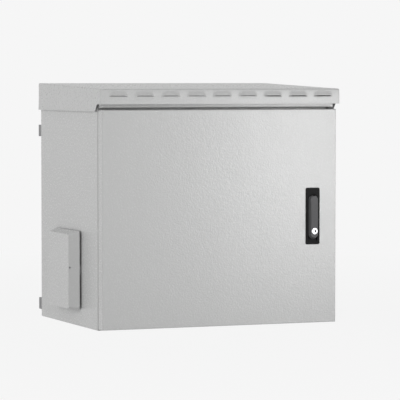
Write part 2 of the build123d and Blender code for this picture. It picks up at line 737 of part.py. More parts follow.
def door_hinge(z):
    """The door's hinge bracket: a web on the door's edge and two ears round the arm's eye."""
    wall_x = -INNER_HALF
    skin_y = Y_DOOR + SHEET
    inner = z + HINGE_ARM_HEIGHT / 2 + HINGE_EAR_GAP
    outer = inner + HINGE_EAR
    low = z + z - outer
    start = skin_y + DOOR_EDGE
    bracket = block(wall_x, wall_x + SHEET, start, HINGE_Y + HINGE_WEB_BACK, low, outer)
    reach_x = HINGE_X + HINGE_EAR_REACH
    reach_y = HINGE_Y + HINGE_EAR_REACH
    ear = polygon([(wall_x, start), (reach_x, start), (reach_x, reach_y), (wall_x, reach_y)])
    bracket += upright(ear, inner, outer)
    bracket += upright(ear, low, z + z - inner)
    return bracket - rod_z(HINGE_X, HINGE_Y, low - OVERRUN, outer + OVERRUN, HINGE_PIN_RADIUS + FIT)


# Swing handle


def finger_dish():
    """The hollow behind the lever, with a slope for the fingers at its left and at its lower end."""
    front = Y_RIM - OVERRUN
    left = HANDLE_X - DISH_LEFT
    right = HANDLE_X + DISH_WIDTH / 2
    low = HANDLE_BOTTOM + DISH_BOTTOM_RISE
    foot = left + DISH_SLOPE
    plan = polygon([(left, front), (left, Y_RIM), (foot, Y_DISH), (right, Y_DISH), (right, front)])
    side = polygon(
        [(front, low), (Y_RIM, low), (Y_DISH, low + DISH_RAMP), (Y_DISH, SPINDLE_Z), (front, SPINDLE_Z)]
    )
    return upright(plan, low, SPINDLE_Z) & across(side, left, right)


def handle_base():
    """The cast base: a rimmed plate with a finger dish and a round well for the lever's pivot."""
    plate = frontal(
        Pos(HANDLE_X, HANDLE_Z) * RectangleRounded(HANDLE_WIDTH, HANDLE_HEIGHT, HANDLE_CORNER), Y_RIM, Y_DOOR
    )
    plate = chamfer([e for e in plate.edges() if e.center().Y < Y_RIM + FIT], HANDLE_EDGE)
    tub = frontal(Pos(HANDLE_X, HANDLE_Z) * Rectangle(TUB_WIDTH, TUB_HEIGHT), Y_DOOR, Y_TUB)
    base = plate + tub
    base -= finger_dish()
    base -= rod_y(HANDLE_X, SPINDLE_Z, Y_RIM - OVERRUN, Y_DISH, WELL_RADIUS)
    base -= rod_y(HANDLE_X, SPINDLE_Z, Y_DISH - OVERRUN, Y_TUB + OVERRUN, SPINDLE_RADIUS + FIT)
    return base


def clamp_heights():
    """The heights of the two clamps behind the handle."""
    reach = TUB_HEIGHT / 2 - CLAMP_INSET
    return (HANDLE_Z - reach, HANDLE_Z + reach)


def handle_clamps():
    """Two bridges that pull the handle's base against the door from behind."""
    side = TUB_WIDTH / 2 + CLAMP_SIDE_GAP + CLAMP_SHEET
    skin = Y_DOOR + SHEET
    back = Y_TUB + CLAMP_SHEET
    right = HANDLE_X + side
    left = HANDLE_X - side
    section = sheet_section([(right, skin), (right, back), (left, back), (left, skin)], CLAMP_SHEET, 0)
    half = CLAMP_HEIGHT / 2
    return group([upright(section, z - half, z + half) for z in clamp_heights()])


def handle_spindle():
    """The turning spindle: a head in the well, a tongue for the lever pin, a journal and a square end."""
    spindle = rod_y(HANDLE_X, SPINDLE_Z, Y_SPINDLE_HEAD, Y_DISH - SPINDLE_HEAD_GAP, SPINDLE_HEAD_RADIUS)
    collar = Y_TUB + SPINDLE_COLLAR
    spindle += rod_y(HANDLE_X, SPINDLE_Z, Y_SPINDLE_HEAD, collar, SPINDLE_RADIUS)
    half = SPINDLE_SQUARE / 2
    square_end = Y_CAM + CAM_SHEET - FIT
    spindle += block(
        HANDLE_X - half, HANDLE_X + half, Y_SPINDLE_HEAD, square_end, SPINDLE_Z - half, SPINDLE_Z + half
    )
    thick = TONGUE_WIDTH / 2
    tongue = block(
        HANDLE_X - thick,
        HANDLE_X + thick,
        Y_LEVER_PIN,
        Y_SPINDLE_HEAD + SHEET,
        SPINDLE_Z - TONGUE_RADIUS,
        SPINDLE_Z + TONGUE_RADIUS,
    )
    tongue += rod_x(Y_LEVER_PIN, SPINDLE_Z, HANDLE_X - thick, HANDLE_X + thick, TONGUE_RADIUS)
    spindle += tongue
    return spindle - rod_x(
        Y_LEVER_PIN, SPINDLE_Z, HANDLE_X - LEVER_WIDTH, HANDLE_X + LEVER_WIDTH, LEVER_PIN_RADIUS + FIT
    )


def latch_cam():
    """The flat cam on the spindle's square that turns behind the body's right-hand flange."""
    middle = CAM_LENGTH - CAM_WIDTH / 2
    outline = Circle(CAM_HUB_RADIUS) + Pos(0, middle / 2) * Rectangle(CAM_WIDTH, middle)
    outline += Pos(0, middle) * Circle(CAM_WIDTH / 2)
    square = SPINDLE_SQUARE + FIT + FIT
    outline -= Rectangle(square, square)
    return frontal(Pos(HANDLE_X, SPINDLE_Z) * outline, Y_CAM, Y_CAM + CAM_SHEET)


def cam_nut():
    """The cap nut that holds the cam on the spindle."""
    return Pos(HANDLE_X, Y_CAM + CAM_SHEET, SPINDLE_Z) * Rot(-90, 0, 0) * hexagon_rod(CAM_NUT_RADIUS, CAM_NUT)


def handle_lever():
    """The hinged lever: a flared bar, thinner at its pivot, slotted for the tongue, bored for the lock."""
    tall = LEVER_TOP - LEVER_BOTTOM + LEVER_FLARE * 2
    wide = LEVER_WIDTH + LEVER_FLARE * 2
    outline = Pos(HANDLE_X, (LEVER_TOP + LEVER_BOTTOM) / 2) * SlotOverall(tall, wide, rotation=90)
    draft_deg = math.degrees(math.atan(LEVER_FLARE / LEVER_THICKNESS))
    lever = extrude(Plane.XZ.offset(-Y_LEVER_BACK) * outline, LEVER_THICKNESS, taper=draft_deg)
    left = HANDLE_X - LEVER_WIDTH
    right = HANDLE_X + LEVER_WIDTH
    crease = LEVER_TOP - LEVER_RAMP_HEIGHT
    ahead = Y_LEVER_FRONT - OVERRUN
    thinned = Y_LEVER_FRONT + LEVER_RAMP
    ramp = polygon([(ahead, crease), (Y_LEVER_FRONT, crease), (thinned, LEVER_TOP), (ahead, LEVER_TOP)])
    lever -= across(ramp, left, right)
    head = block(
        left, right, Y_LEVER_FRONT - OVERRUN, Y_LEVER_BACK + OVERRUN, SPINDLE_Z, SPINDLE_Z + LEVER_WIDTH
    )
    lever -= head - rod_x(Y_LEVER_PIN, SPINDLE_Z, left, right, LEVER_HEAD_RADIUS)
    slot = TONGUE_WIDTH / 2 + FIT
    room = TONGUE_RADIUS + TONGUE_CLEAR
    lever -= block(
        HANDLE_X - slot,
        HANDLE_X + slot,
        Y_LEVER_PIN - room,
        Y_LEVER_BACK + OVERRUN,
        SPINDLE_Z - room,
        SPINDLE_Z + LEVER_WIDTH,
    )
    lever -= rod_x(Y_LEVER_PIN, SPINDLE_Z, left, right, LEVER_PIN_RADIUS + FIT)
    return lever - rod_y(
        HANDLE_X, LOCK_Z, Y_LEVER_FRONT - OVERRUN, Y_LEVER_BACK + OVERRUN, LOCK_RING_RADIUS + FIT
    )


def lever_pin():
    """The cross pin on which the lever lifts."""
    half = LEVER_WIDTH / 2 - LEVER_PIN_INSET
    return rod_x(Y_LEVER_PIN, SPINDLE_Z, HANDLE_X - half, HANDLE_X + half, LEVER_PIN_RADIUS)


def lock_cylinder():
    """The lock's ringed housing in the lever."""
    housing = rod_y(HANDLE_X, LOCK_Z, Y_LEVER_FRONT - LOCK_RING, Y_LEVER_FRONT + LOCK_BODY, LOCK_RING_RADIUS)
    return housing - rod_y(
        HANDLE_X, LOCK_Z, Y_LEVER_FRONT - OVERRUN, Y_LEVER_BACK + OVERRUN, LOCK_PLUG_RADIUS + FIT
    )


def lock_plug():
    """The turning plug with its keyway and the small cam behind it."""
    front = Y_LEVER_FRONT - LOCK_RING
    cam_front = Y_LEVER_FRONT + LOCK_BODY + LOCK_CAM_GAP
    cam_back = cam_front + LOCK_CAM
    plug = rod_y(HANDLE_X, LOCK_Z, front, cam_back, LOCK_PLUG_RADIUS)
    half = LOCK_CAM_WIDTH / 2
    cam = block(HANDLE_X - half, HANDLE_X + half, cam_front, cam_back, LOCK_Z, LOCK_Z + LOCK_CAM_REACH)
    cam &= rod_y(HANDLE_X, LOCK_Z, cam_front, cam_back, LOCK_CAM_REACH)
    plug += cam
    wide = KEY_WIDTH / 2
    high = KEY_HEIGHT / 2
    return plug - block(
        HANDLE_X - wide, HANDLE_X + wide, front - OVERRUN, front + KEY_DEPTH, LOCK_Z - high, LOCK_Z + high
    )


# Fan


def fan_frame():
    """A square fan housing under the top panel, with a motor plate on four struts."""
    half = FAN_SIZE / 2
    frame = block(-half, half, FAN_Y - half, FAN_Y + half, Z_FAN_BOTTOM, Z_FAN_TOP)
    frame -= rod_z(0, FAN_Y, Z_FAN_BOTTOM - OVERRUN, Z_FAN_TOP + OVERRUN, FAN_BORE_RADIUS)
    motor_top = Z_FAN_BOTTOM + FAN_MOTOR
    thin = FAN_STRUT / 2
    wide = FAN_MOTOR_SIZE / 2
    frame += block(-wide, wide, FAN_Y - wide, FAN_Y + wide, Z_FAN_BOTTOM, motor_top)
    span = FAN_BORE_RADIUS + SHEET
    frame += block(-span, span, FAN_Y - thin, FAN_Y + thin, Z_FAN_BOTTOM, motor_top)
    frame += block(-thin, thin, FAN_Y - span, FAN_Y + span, Z_FAN_BOTTOM, motor_top)
    return frame - rod_z(0, FAN_Y, Z_FAN_BOTTOM - OVERRUN, motor_top + OVERRUN, FAN_SHAFT_RADIUS + FIT)


def fan_rotor():
    """The fan's hub and pitched blades on a short shaft."""
    hub_bottom = Z_FAN_BOTTOM + FAN_MOTOR + FAN_END_GAP
    hub_top = Z_FAN_TOP - FAN_TOP_GAP
    rotor = rod_z(0, FAN_Y, hub_bottom, hub_top, FAN_HUB_RADIUS)
    middle = (hub_bottom + hub_top) / 2
    reach = math.sqrt(FAN_TIP_RADIUS**2 - FAN_BLADE_CHORD**2 / 4)
    flat = Box(reach, FAN_BLADE_CHORD, FAN_BLADE_SHEET)
    blade = Pos(reach / 2, 0, 0) * Rot(FAN_BLADE_PITCH_DEG, 0, 0) * flat
    for step in range(FAN_BLADES):
        rotor += Pos(0, FAN_Y, middle) * Rot(0, 0, step * 360 / FAN_BLADES) * blade
    return rotor + rod_z(0, FAN_Y, Z_FAN_BOTTOM + FAN_END_GAP, hub_bottom + SHEET, FAN_SHAFT_RADIUS)


# Cable entry and earth stud


def gland_plate():
    """The undrilled plate that closes the cable opening in the floor."""
    length = ENTRY_LENGTH / 2 + ENTRY_BORDER
    width = ENTRY_WIDTH / 2 + ENTRY_BORDER
    return block(-length, length, ENTRY_Y - width, ENTRY_Y + width, SHEET, SHEET + ENTRY_SHEET)


def earth_stud():
    """The earthing stud on the floor with its nut."""
    stud = rod_z(STUD_X, STUD_Y, SHEET, SHEET + STUD_LENGTH, STUD_RADIUS)
    return stud + Pos(STUD_X, STUD_Y, SHEET) * hexagon_rod(STUD_NUT_RADIUS, STUD_NUT)


def both_sides(make):
    """The pieces of one side for its two ends, then their mirror images."""
    left = [make(side) for side in (-1, 1)]
    return group(left + [to_right(piece) for piece in left])


def pieces():
    """Every piece of the cabinet by its name."""
    left_wall = side_wall_left()
    left_hood = vent_hood_left()
    left_frame = filter_frame_left()
    left_mat = filter_mat_left()
    left_rail = rack_rail_left()
    low_bracket = wall_bracket_left(BRACKET_LOWER)
    high_bracket = wall_bracket_left(BRACKET_UPPER)
    low_support = rail_support_left(SUPPORT_LOWER)
    high_support = rail_support_left(SUPPORT_UPPER)
    return {
        "side_wall_left": left_wall,
        "side_wall_right": to_right(left_wall),
        "rear_wall": rear_wall(),
        "floor_panel": floor_panel(),
        "top_panel": top_panel(),
        "roof_canopy": roof_canopy(),
        "roof_spacers": roof_spacers(),
        "vent_hood_left": left_hood,
        "vent_hood_right": to_right(left_hood),
        "hood_clips": both_sides(hood_clip_left),
        "filter_frame_left": left_frame,
        "filter_frame_right": to_right(left_frame),
        "filter_mat_left": left_mat,
        "filter_mat_right": to_right(left_mat),
        "wall_bracket_lower_left": low_bracket,
        "wall_bracket_lower_right": to_right(low_bracket),
        "wall_bracket_upper_left": high_bracket,
        "wall_bracket_upper_right": to_right(high_bracket),
        "rack_rail_left": left_rail,
        "rack_rail_right": to_right(left_rail),
        "rail_support_lower_left": low_support,
        "rail_support_lower_right": to_right(low_support),
        "rail_support_upper_left": high_support,
        "rail_support_upper_right": to_right(high_support),
        "hinge_arm_lower": hinge_arm(HINGE_LOWER),
        "hinge_arm_upper": hinge_arm(HINGE_UPPER),
        "hinge_pin_lower": hinge_pin(HINGE_LOWER),
        "hinge_pin_upper": hinge_pin(HINGE_UPPER),
        "fan_frame": fan_frame(),
        "fan_rotor": fan_rotor(),
        "gland_plate": gland_plate(),
        "earth_stud": earth_stud(),
        "door_panel": door_panel(),
        "door_gasket": door_gasket(),
        "door_hinge_lower": door_hinge(HINGE_LOWER),
        "door_hinge_upper": door_hinge(HINGE_UPPER),
        "handle_base": handle_base(),
        "handle_clamps": handle_clamps(),
        "handle_spindle": handle_spindle(),
        "latch_cam": latch_cam(),
        "cam_nut": cam_nut(),
        "handle_lever": handle_lever(),
        "lever_pin": lever_pin(),
        "lock_cylinder": lock_cylinder(),
        "lock_plug": lock_plug(),
    }


def main():
    """Writes each piece to its own file."""
    os.makedirs("parts", exist_ok=True)
    for name, shape in pieces().items():
        export_step(shape, f"parts/{name}.step")


main()
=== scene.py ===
"""Outdoor rack cabinet: its finishes, its small fittings and the stage that it stands on."""

import math

import bmesh
import bpy
from bpy.props import FloatProperty, FloatVectorProperty, IntProperty, PointerProperty
from bpy.types import Operator, Panel, PropertyGroup
from mathutils import Matrix, Vector, noise


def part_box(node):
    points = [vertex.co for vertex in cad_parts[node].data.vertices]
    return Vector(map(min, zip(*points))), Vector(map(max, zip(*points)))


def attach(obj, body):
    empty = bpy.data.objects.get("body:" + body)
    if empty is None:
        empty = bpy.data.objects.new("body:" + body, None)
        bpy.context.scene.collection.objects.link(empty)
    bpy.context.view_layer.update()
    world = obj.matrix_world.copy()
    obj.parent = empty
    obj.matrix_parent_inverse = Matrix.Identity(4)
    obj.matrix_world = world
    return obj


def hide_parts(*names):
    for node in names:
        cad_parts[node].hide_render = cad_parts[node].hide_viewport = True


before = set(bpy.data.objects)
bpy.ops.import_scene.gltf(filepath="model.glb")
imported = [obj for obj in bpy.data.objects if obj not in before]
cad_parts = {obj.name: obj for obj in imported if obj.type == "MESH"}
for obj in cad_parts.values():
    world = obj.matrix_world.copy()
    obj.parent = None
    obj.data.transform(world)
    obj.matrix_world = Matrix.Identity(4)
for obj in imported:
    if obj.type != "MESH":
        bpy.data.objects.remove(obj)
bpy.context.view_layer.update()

bl_info = {
    "name": "Outdoor Rack Cabinet",
    "version": (1, 0, 0),
    "blender": (4, 5, 0),
    "location": "View3D > Sidebar > Cabinet",
    "description": "Finishes, fittings and stage for a wall-mounted outdoor rack cabinet",
    "category": "Object",
}

MM = 0.001

PAINTED_SHEETS = ("side_wall_left", "side_wall_right", "rear_wall", "floor_panel", "top_panel", "gland_plate")
HOODS = ("vent_hood_left", "vent_hood_right")
PLATED_SHEETS = (
    "rack_rail_left",
    "rack_rail_right",
    "rail_support_lower_left",
    "rail_support_lower_right",
    "rail_support_upper_left",
    "rail_support_upper_right",
    "hood_clips",
    "handle_clamps",
)
PLATED_SOLIDS = (
    "roof_spacers",
    "hinge_arm_lower",
    "hinge_arm_upper",
    "door_hinge_lower",
    "door_hinge_upper",
    "latch_cam",
    "earth_stud",
)
BRIGHT_PINS = ("hinge_pin_lower", "hinge_pin_upper", "lever_pin", "cam_nut")
WALL_BRACKETS = (
    "wall_bracket_lower_left",
    "wall_bracket_lower_right",
    "wall_bracket_upper_left",
    "wall_bracket_upper_right",
)

# The way inward along X from each side, and the levels of the hinges and rail supports
INWARD = {"left": 1, "right": -1}
LEVELS = ("lower", "upper")

# Rounding of edges, and the angles that tell a flat, a sharp edge and a fold apart
HOOD_EDGE = 0.7 * MM
PLATED_SHEET_EDGE = 0.3 * MM
PLATED_SOLID_EDGE = 0.4 * MM
PIN_EDGE = 0.3 * MM
BRACKET_EDGE = 0.5 * MM
LOCK_EDGE = 0.25 * MM
FILTER_FRAME_EDGE = 0.4 * MM
FAN_FRAME_EDGE = 0.5 * MM
EDGE_STEPS = 3
FOLD_STEPS = 4
SAME_CORNER = 0.01 * MM
FLAT_ANGLE = math.radians(1.0)
SHARP_ANGLE = math.radians(35.0)
FOLD_ANGLE = math.radians(50.0)

# Roof: heights above its lowest edge, how far back its side notches reach, and the louvres' grid
ROOF_FRONT_TOP = 53.0 * MM
ROOF_SKIRT_FOOT = 17.0 * MM
ROOF_LOUVRE_LIP = 34.5 * MM
ROOF_REAR_LIP = 32.0 * MM
NOTCH_TOP_REACH = 28.0 * MM
NOTCH_FOOT_REACH = 43.0 * MM
LOUVRE_STEPS = 28
LOUVRE_ROWS = 10
LOUVRE_EASE_SHARE = 0.35

# Shutter beside the keyway
SHUTTER_RADIUS = 3.7 * MM
SHUTTER_SUNK = 0.3 * MM
SHUTTER_PROUD = 0.1 * MM
SHUTTER_STEPS = 16

# Door seal: width, outer corner, and one half of its domed section as shares of width and depth
SEAL_WIDTH = 12.0 * MM
SEAL_CORNER = 12.0 * MM
SEAL_CORNER_STEPS = 10
SEAL_HALF_SHARES = ((-0.5, 0.0), (-0.5, 0.35), (-0.42, 0.68), (-0.25, 0.92), (0.0, 1.0))

# Filter mats: the tuck at the rim, the lumps of the fleece and the grid that carries them
MAT_TUCK = 2.6 * MM
MAT_RIM_SHARE = 0.06
MAT_LUMP = 0.5 * MM
MAT_LUMPS_PER_METRE = 90.0
MAT_LAYERS_PER_METRE = 50.0
MAT_STEPS = 40

# Fan: its hub and shaft, and the section, pitch and sweep of its blades, with angles in radians
FAN_TIP = 54.0 * MM
FAN_HUB = 20.0 * MM
FAN_SHAFT = 2.4 * MM
FAN_SHAFT_LENGTH = 4.0 * MM
HUB_CHAMFER = 1.0 * MM
HUB_ROUND = 2.0 * MM
HUB_ROUND_INSET = 0.6 * MM
HUB_DISH_SHARE = 0.5
HUB_DISH_FLOOR_SHARE = 0.46
HUB_DISH_DEPTH = 0.4 * MM
HUB_STEPS = 48
BLADE_SUNK = 1.5 * MM
BLADE_ROOT_PITCH = math.radians(56.0)
BLADE_SWEEP = 0.35
BLADE_ROOT_CHORD = 17.0 * MM
BLADE_CHORD_GAIN = 7.0 * MM
BLADE_CAMBER = 1.6 * MM
BLADE_HALF_THICKNESS = 0.8 * MM
BLADE_EDGE_SHARE = 0.02
BLADE_STATIONS = 10
BLADE_STEPS = 8

# Screw heads: the pan and its six-lobed recess as shares of radius and height
PAN_SHARES = ((1.0, 0.0), (1.0, 0.32), (0.95, 0.56), (0.82, 0.8), (0.62, 0.95), (0.5, 1.0))
RECESS_SHARES = ((0.42, 1.0), (0.39, 0.5), (0.3, 0.36))
RECESS_LOBES = 6
RECESS_LOBE_SHARE = 0.14
SCREW_STEPS = 36

# Grain: how many fine grains lie along one coarse grain
FINE_GRAINS_TO_COARSE = 2.7

# Studio floor
FLOOR_REACH = 150.0
FLOOR_LEVEL = -0.2 * MM
FLOOR_TONE = 0.93


# Settings


class CabinetPaint(PropertyGroup):
    """The powder coat on the sheet metal."""

    colour: FloatVectorProperty(
        name="Coat colour",
        description="Colour of the powder coat",
        subtype="COLOR",
        size=3,
        min=0.0,
        max=1.0,
        default=(0.555, 0.558, 0.555),
    )
    drift: FloatProperty(
        name="Tone drift",
        description="Share by which the tone wanders over a panel",
        subtype="FACTOR",
        default=0.012,
    )
    grains_per_metre: FloatProperty(
        name="Grains per metre", description="How fine the coat's orange-peel texture is", default=250.0
    )
    grain_depth: FloatProperty(
        name="Grain depth", description="Height of the coat's texture", unit="LENGTH", default=0.0004
    )
    gloss: FloatProperty(
        name="Gloss",
        description="Strength of the coat's mirror-like reflection",
        subtype="FACTOR",
        default=0.5,
    )
    edge: FloatProperty(
        name="Coated edge",
        description="Rounding that the coat gives to a cut edge",
        unit="LENGTH",
        default=0.0004,
    )


class CabinetHandle(PropertyGroup):
    """The cast swing handle and its lock."""

    base_colour: FloatVectorProperty(
        name="Base colour",
        description="Colour of the handle's base",
        subtype="COLOR",
        size=3,
        min=0.0,
        max=1.0,
        default=(0.016, 0.016, 0.0165),
    )
    lever_colour: FloatVectorProperty(
        name="Lever colour",
        description="Colour of the handle's lever",
        subtype="COLOR",
        size=3,
        min=0.0,
        max=1.0,
        default=(0.095, 0.095, 0.098),
    )
    edge: FloatProperty(
        name="Cast edge", description="Rounding on the edges of the casting", unit="LENGTH", default=0.0006
    )


class CabinetRoof(PropertyGroup):
    """The pressed roof sheet and its louvres."""

    gauge: FloatProperty(name="Gauge", description="Thickness of the sheet", unit="LENGTH", default=0.0015)
    fold: FloatProperty(name="Fold", description="Outer radius of a fold", unit="LENGTH", default=0.003)
    louvres: IntProperty(name="Louvres", description="Number of louvres in the front skirt", min=1, default=9)
    pitch: FloatProperty(
        name="Louvre pitch", description="Distance from one louvre to the next", unit="LENGTH", default=0.0655
    )
    width: FloatProperty(
        name="Louvre width", description="Width of a louvre at its lip", unit="LENGTH", default=0.05
    )
    height: FloatProperty(
        name="Louvre height", description="Height of a louvre above its lip", unit="LENGTH", default=0.0145
    )
    reach: FloatProperty(
        name="Louvre reach", description="How far a louvre's lip stands out", unit="LENGTH", default=0.005
    )
    lip_rise: FloatProperty(
        name="Lip rise", description="How far the pressing draws a lip upwards", unit="LENGTH", default=0.003
    )
    soft_end: FloatProperty(
        name="Soft end", description="Length over which a louvre's end runs out", unit="LENGTH", default=0.008
    )
    spread: FloatProperty(
        name="Spread",
        description="How much longer a louvre's end runs out at its top",
        unit="LENGTH",
        default=0.008,
    )
    lean: FloatProperty(
        name="Lean",
        description="How far the skirt curves back towards its top fold",
        unit="LENGTH",
        default=0.0012,
    )


class CabinetFittings(PropertyGroup):
    """Screws, seal, filters and fan."""

    screw_radius: FloatProperty(
        name="Screw head radius", description="Radius of a pan head", unit="LENGTH", default=0.0036
    )
    screw_height: FloatProperty(
        name="Screw head height", description="Height of a pan head", unit="LENGTH", default=0.0019
    )
    blades: IntProperty(name="Fan blades", description="Number of blades on the fan", min=3, default=5)
    blade_twist: FloatProperty(
        name="Blade twist",
        description="Change of a blade's pitch from hub to tip",
        subtype="ANGLE",
        default=0.42,
    )


class CabinetStage(PropertyGroup):
    """Camera, light and floor."""

    camera_place: FloatVectorProperty(
        name="Camera place",
        description="Where the camera stands",
        subtype="TRANSLATION",
        size=3,
        default=(-2.31595, -5.76396, 0.58678),
    )
    camera_yaw: FloatProperty(
        name="Camera yaw",
        description="Turn of the camera to the right",
        subtype="ANGLE",
        default=math.radians(22.2082),
    )
    camera_pitch: FloatProperty(
        name="Camera pitch",
        description="Tilt of the camera downwards",
        subtype="ANGLE",
        default=math.radians(2.7038),
    )
    lens: FloatProperty(name="Lens", description="Focal length", unit="CAMERA", default=227.94)
    backdrop: FloatProperty(
        name="Backdrop tone",
        description="Tone of the floor and backdrop as the camera sees them",
        default=0.922,
    )
    fill: FloatProperty(name="Fill light", description="Strength of the light from all round", default=0.3)
    front_power: FloatProperty(
        name="Front power",
        description="Power of the softbox in front of the door",
        unit="POWER",
        default=13.0,
    )
    key_power: FloatProperty(
        name="Key power",
        description="Power of the narrow softbox that the door mirrors",
        unit="POWER",
        default=14.3,
    )
    side_power: FloatProperty(
        name="Side power", description="Power of the softbox at the left", unit="POWER", default=34.5
    )
    top_power: FloatProperty(
        name="Top power", description="Power of the softbox above the roof", unit="POWER", default=3.0
    )


# Shader building


def place(tree, kind, settings=None, values=None):
    """One node in a tree, with its settings and its own socket values."""
    node = tree.nodes.new(kind)
    for name, value in (settings or {}).items():
        setattr(node, name, value)
    for name, value in (values or {}).items():
        node.inputs[name].default_value = value
    return node


def join(tree, start, output, end, socket):
    """A link from one node's output to another's input."""
    tree.links.new(start.outputs[output], end.inputs[socket])


def new_group(name, inputs, outputs):
    """An empty shader group with named sockets, and its two end nodes."""
    tree = bpy.data.node_groups.new(name, "ShaderNodeTree")
    for label, kind, value in inputs:
        socket = tree.interface.new_socket(label, in_out="INPUT", socket_type=kind)
        socket.default_value = value
    for label, kind in outputs:
        tree.interface.new_socket(label, in_out="OUTPUT", socket_type=kind)
    return tree, tree.nodes.new("NodeGroupInput"), tree.nodes.new("NodeGroupOutput")


def peel_grain(name):
    """Small soft hills of a sprayed or cast skin, as a height and as a mask of their tops."""
    tree, start, end = new_group(
        name,
        [("Grains per metre", "NodeSocketFloat", 400.0), ("Fine share", "NodeSocketFloat", 0.35)],
        [("Height", "NodeSocketFloat"), ("Tops", "NodeSocketFloat")],
    )
    where = place(tree, "ShaderNodeTexCoord")
    coarse = place(tree, "ShaderNodeTexNoise", values={"Detail": 1.0, "Roughness": 0.5, "Distortion": 0.3})
    finer = place(tree, "ShaderNodeMath", {"operation": "MULTIPLY"}, {1: FINE_GRAINS_TO_COARSE})
    fine = place(tree, "ShaderNodeTexNoise", values={"Detail": 1.0, "Roughness": 0.6})
    mix = place(tree, "ShaderNodeMix", {"data_type": "FLOAT"})
    tops = place(tree, "ShaderNodeMapRange", values={"From Min": 0.4, "From Max": 0.66})
    join(tree, where, "Object", coarse, "Vector")
    join(tree, where, "Object", fine, "Vector")
    join(tree, start, "Grains per metre", coarse, "Scale")
    join(tree, start, "Grains per metre", finer, 0)
    join(tree, finer, 0, fine, "Scale")
    join(tree, start, "Fine share", mix, 0)
    join(tree, coarse, "Fac", mix, 2)
    join(tree, fine, "Fac", mix, 3)
    join(tree, mix, 0, tops, "Value")
    join(tree, mix, 0, end, "Height")
    join(tree, tops, "Result", end, "Tops")
    return tree


def tone_drift(name):
    """A colour that wanders a little in lightness over the piece."""
    tree, start, end = new_group(
        name,
        [
            ("Colour", "NodeSocketColor", (0.5, 0.5, 0.5, 1.0)),
            ("Lightest", "NodeSocketFloat", 1.02),
            ("Darkest", "NodeSocketFloat", 0.98),
            ("Patches per metre", "NodeSocketFloat", 4.0),
        ],
        [("Colour", "NodeSocketColor")],
    )
    where = place(tree, "ShaderNodeTexCoord")
    patches = place(tree, "ShaderNodeTexNoise", values={"Detail": 3.0, "Roughness": 0.55})
    span = place(tree, "ShaderNodeMapRange", values={"From Min": 0.3, "From Max": 0.7})
    tone = place(tree, "ShaderNodeHueSaturation")
    join(tree, where, "Object", patches, "Vector")
    join(tree, start, "Patches per metre", patches, "Scale")
    join(tree, patches, "Fac", span, "Value")
    join(tree, start, "Darkest", span, "To Min")
    join(tree, start, "Lightest", span, "To Max")
    join(tree, span, "Result", tone, "Value")
    join(tree, start, "Colour", tone, "Color")
    join(tree, tone, "Color", end, "Colour")
    return tree


def drawn_streaks(name):
    """Fine streaks along the piece, as rolling and drawing leave them."""
    tree, start, end = new_group(
        name,
        [("Streaks per metre", "NodeSocketFloat", 900.0), ("Stretch", "NodeSocketVector", (1.0, 1.0, 0.04))],
        [("Height", "NodeSocketFloat"), ("Shine", "NodeSocketFloat")],
    )
    where = place(tree, "ShaderNodeTexCoord")
    squeeze = place(tree, "ShaderNodeMapping")
    streaks = place(tree, "ShaderNodeTexNoise", values={"Detail": 3.0, "Roughness": 0.6})
    shine = place(tree, "ShaderNodeMapRange", values={"From Min": 0.3, "From Max": 0.7})
    join(tree, where, "Object", squeeze, "Vector")
    join(tree, start, "Stretch", squeeze, "Scale")
    join(tree, squeeze, "Vector", streaks, "Vector")
    join(tree, start, "Streaks per metre", streaks, "Scale")
    join(tree, streaks, "Fac", shine, "Value")
    join(tree, streaks, "Fac", end, "Height")
    join(tree, shine, "Result", end, "Shine")
    return tree


def foam_cells(name):
    """Open cells of a foam or fleece, as a height and as a mask of the pores."""
    tree, start, end = new_group(
        name,
        [("Cells per metre", "NodeSocketFloat", 500.0)],
        [("Height", "NodeSocketFloat"), ("Pores", "NodeSocketFloat")],
    )
    where = place(tree, "ShaderNodeTexCoord")
    cells = place(tree, "ShaderNodeTexVoronoi", {"feature": "F1"})
    pores = place(tree, "ShaderNodeMapRange", values={"From Min": 0.12, "From Max": 0.5})
    join(tree, where, "Object", cells, "Vector")
    join(tree, start, "Cells per metre", cells, "Scale")
    join(tree, cells, "Distance", pores, "Value")
    join(tree, cells, "Distance", end, "Height")
    join(tree, pores, "Result", end, "Pores")
    return tree


def new_material(name):
    """A material with only its surface shader and its output."""
    material = bpy.data.materials.new(name)
    material.use_nodes = True
    tree = material.node_tree
    tree.nodes.clear()
    shader = place(tree, "ShaderNodeBsdfPrincipled")
    output = place(tree, "ShaderNodeOutputMaterial")
    join(tree, shader, "BSDF", output, "Surface")
    return material, tree, shader


def grouped(tree, name, build, values):
    """A shader group in a material, built the first time, with its own values."""
    groups = bpy.data.node_groups
    group = groups[name] if name in groups else build(name)
    return place(tree, "ShaderNodeGroup", {"node_tree": group}, values)


def drifting_colour(tree, colour, drift, patches):
    """The tone drift group for one colour."""
    values = {
        "Colour": (*colour, 1.0),
        "Lightest": 1.0 + drift,
        "Darkest": 1.0 - drift,
        "Patches per metre": patches,
    }
    return grouped(tree, "Tone drift", tone_drift, values)


def roughened(tree, shader, source, output, rough_from, rough_to):
    """Roughness from one value to another by a mask."""
    span = place(tree, "ShaderNodeMapRange", values={"To Min": rough_from, "To Max": rough_to})
    join(tree, source, output, span, "Value")
    join(tree, span, "Result", shader, "Roughness")


def bumped(tree, shader, source, output, depth, strength):
    """A bump on the shader's normal from a height."""
    bump = place(tree, "ShaderNodeBump", values={"Strength": strength, "Distance": depth})
    join(tree, source, output, bump, "Height")
    join(tree, bump, "Normal", shader, "Normal")


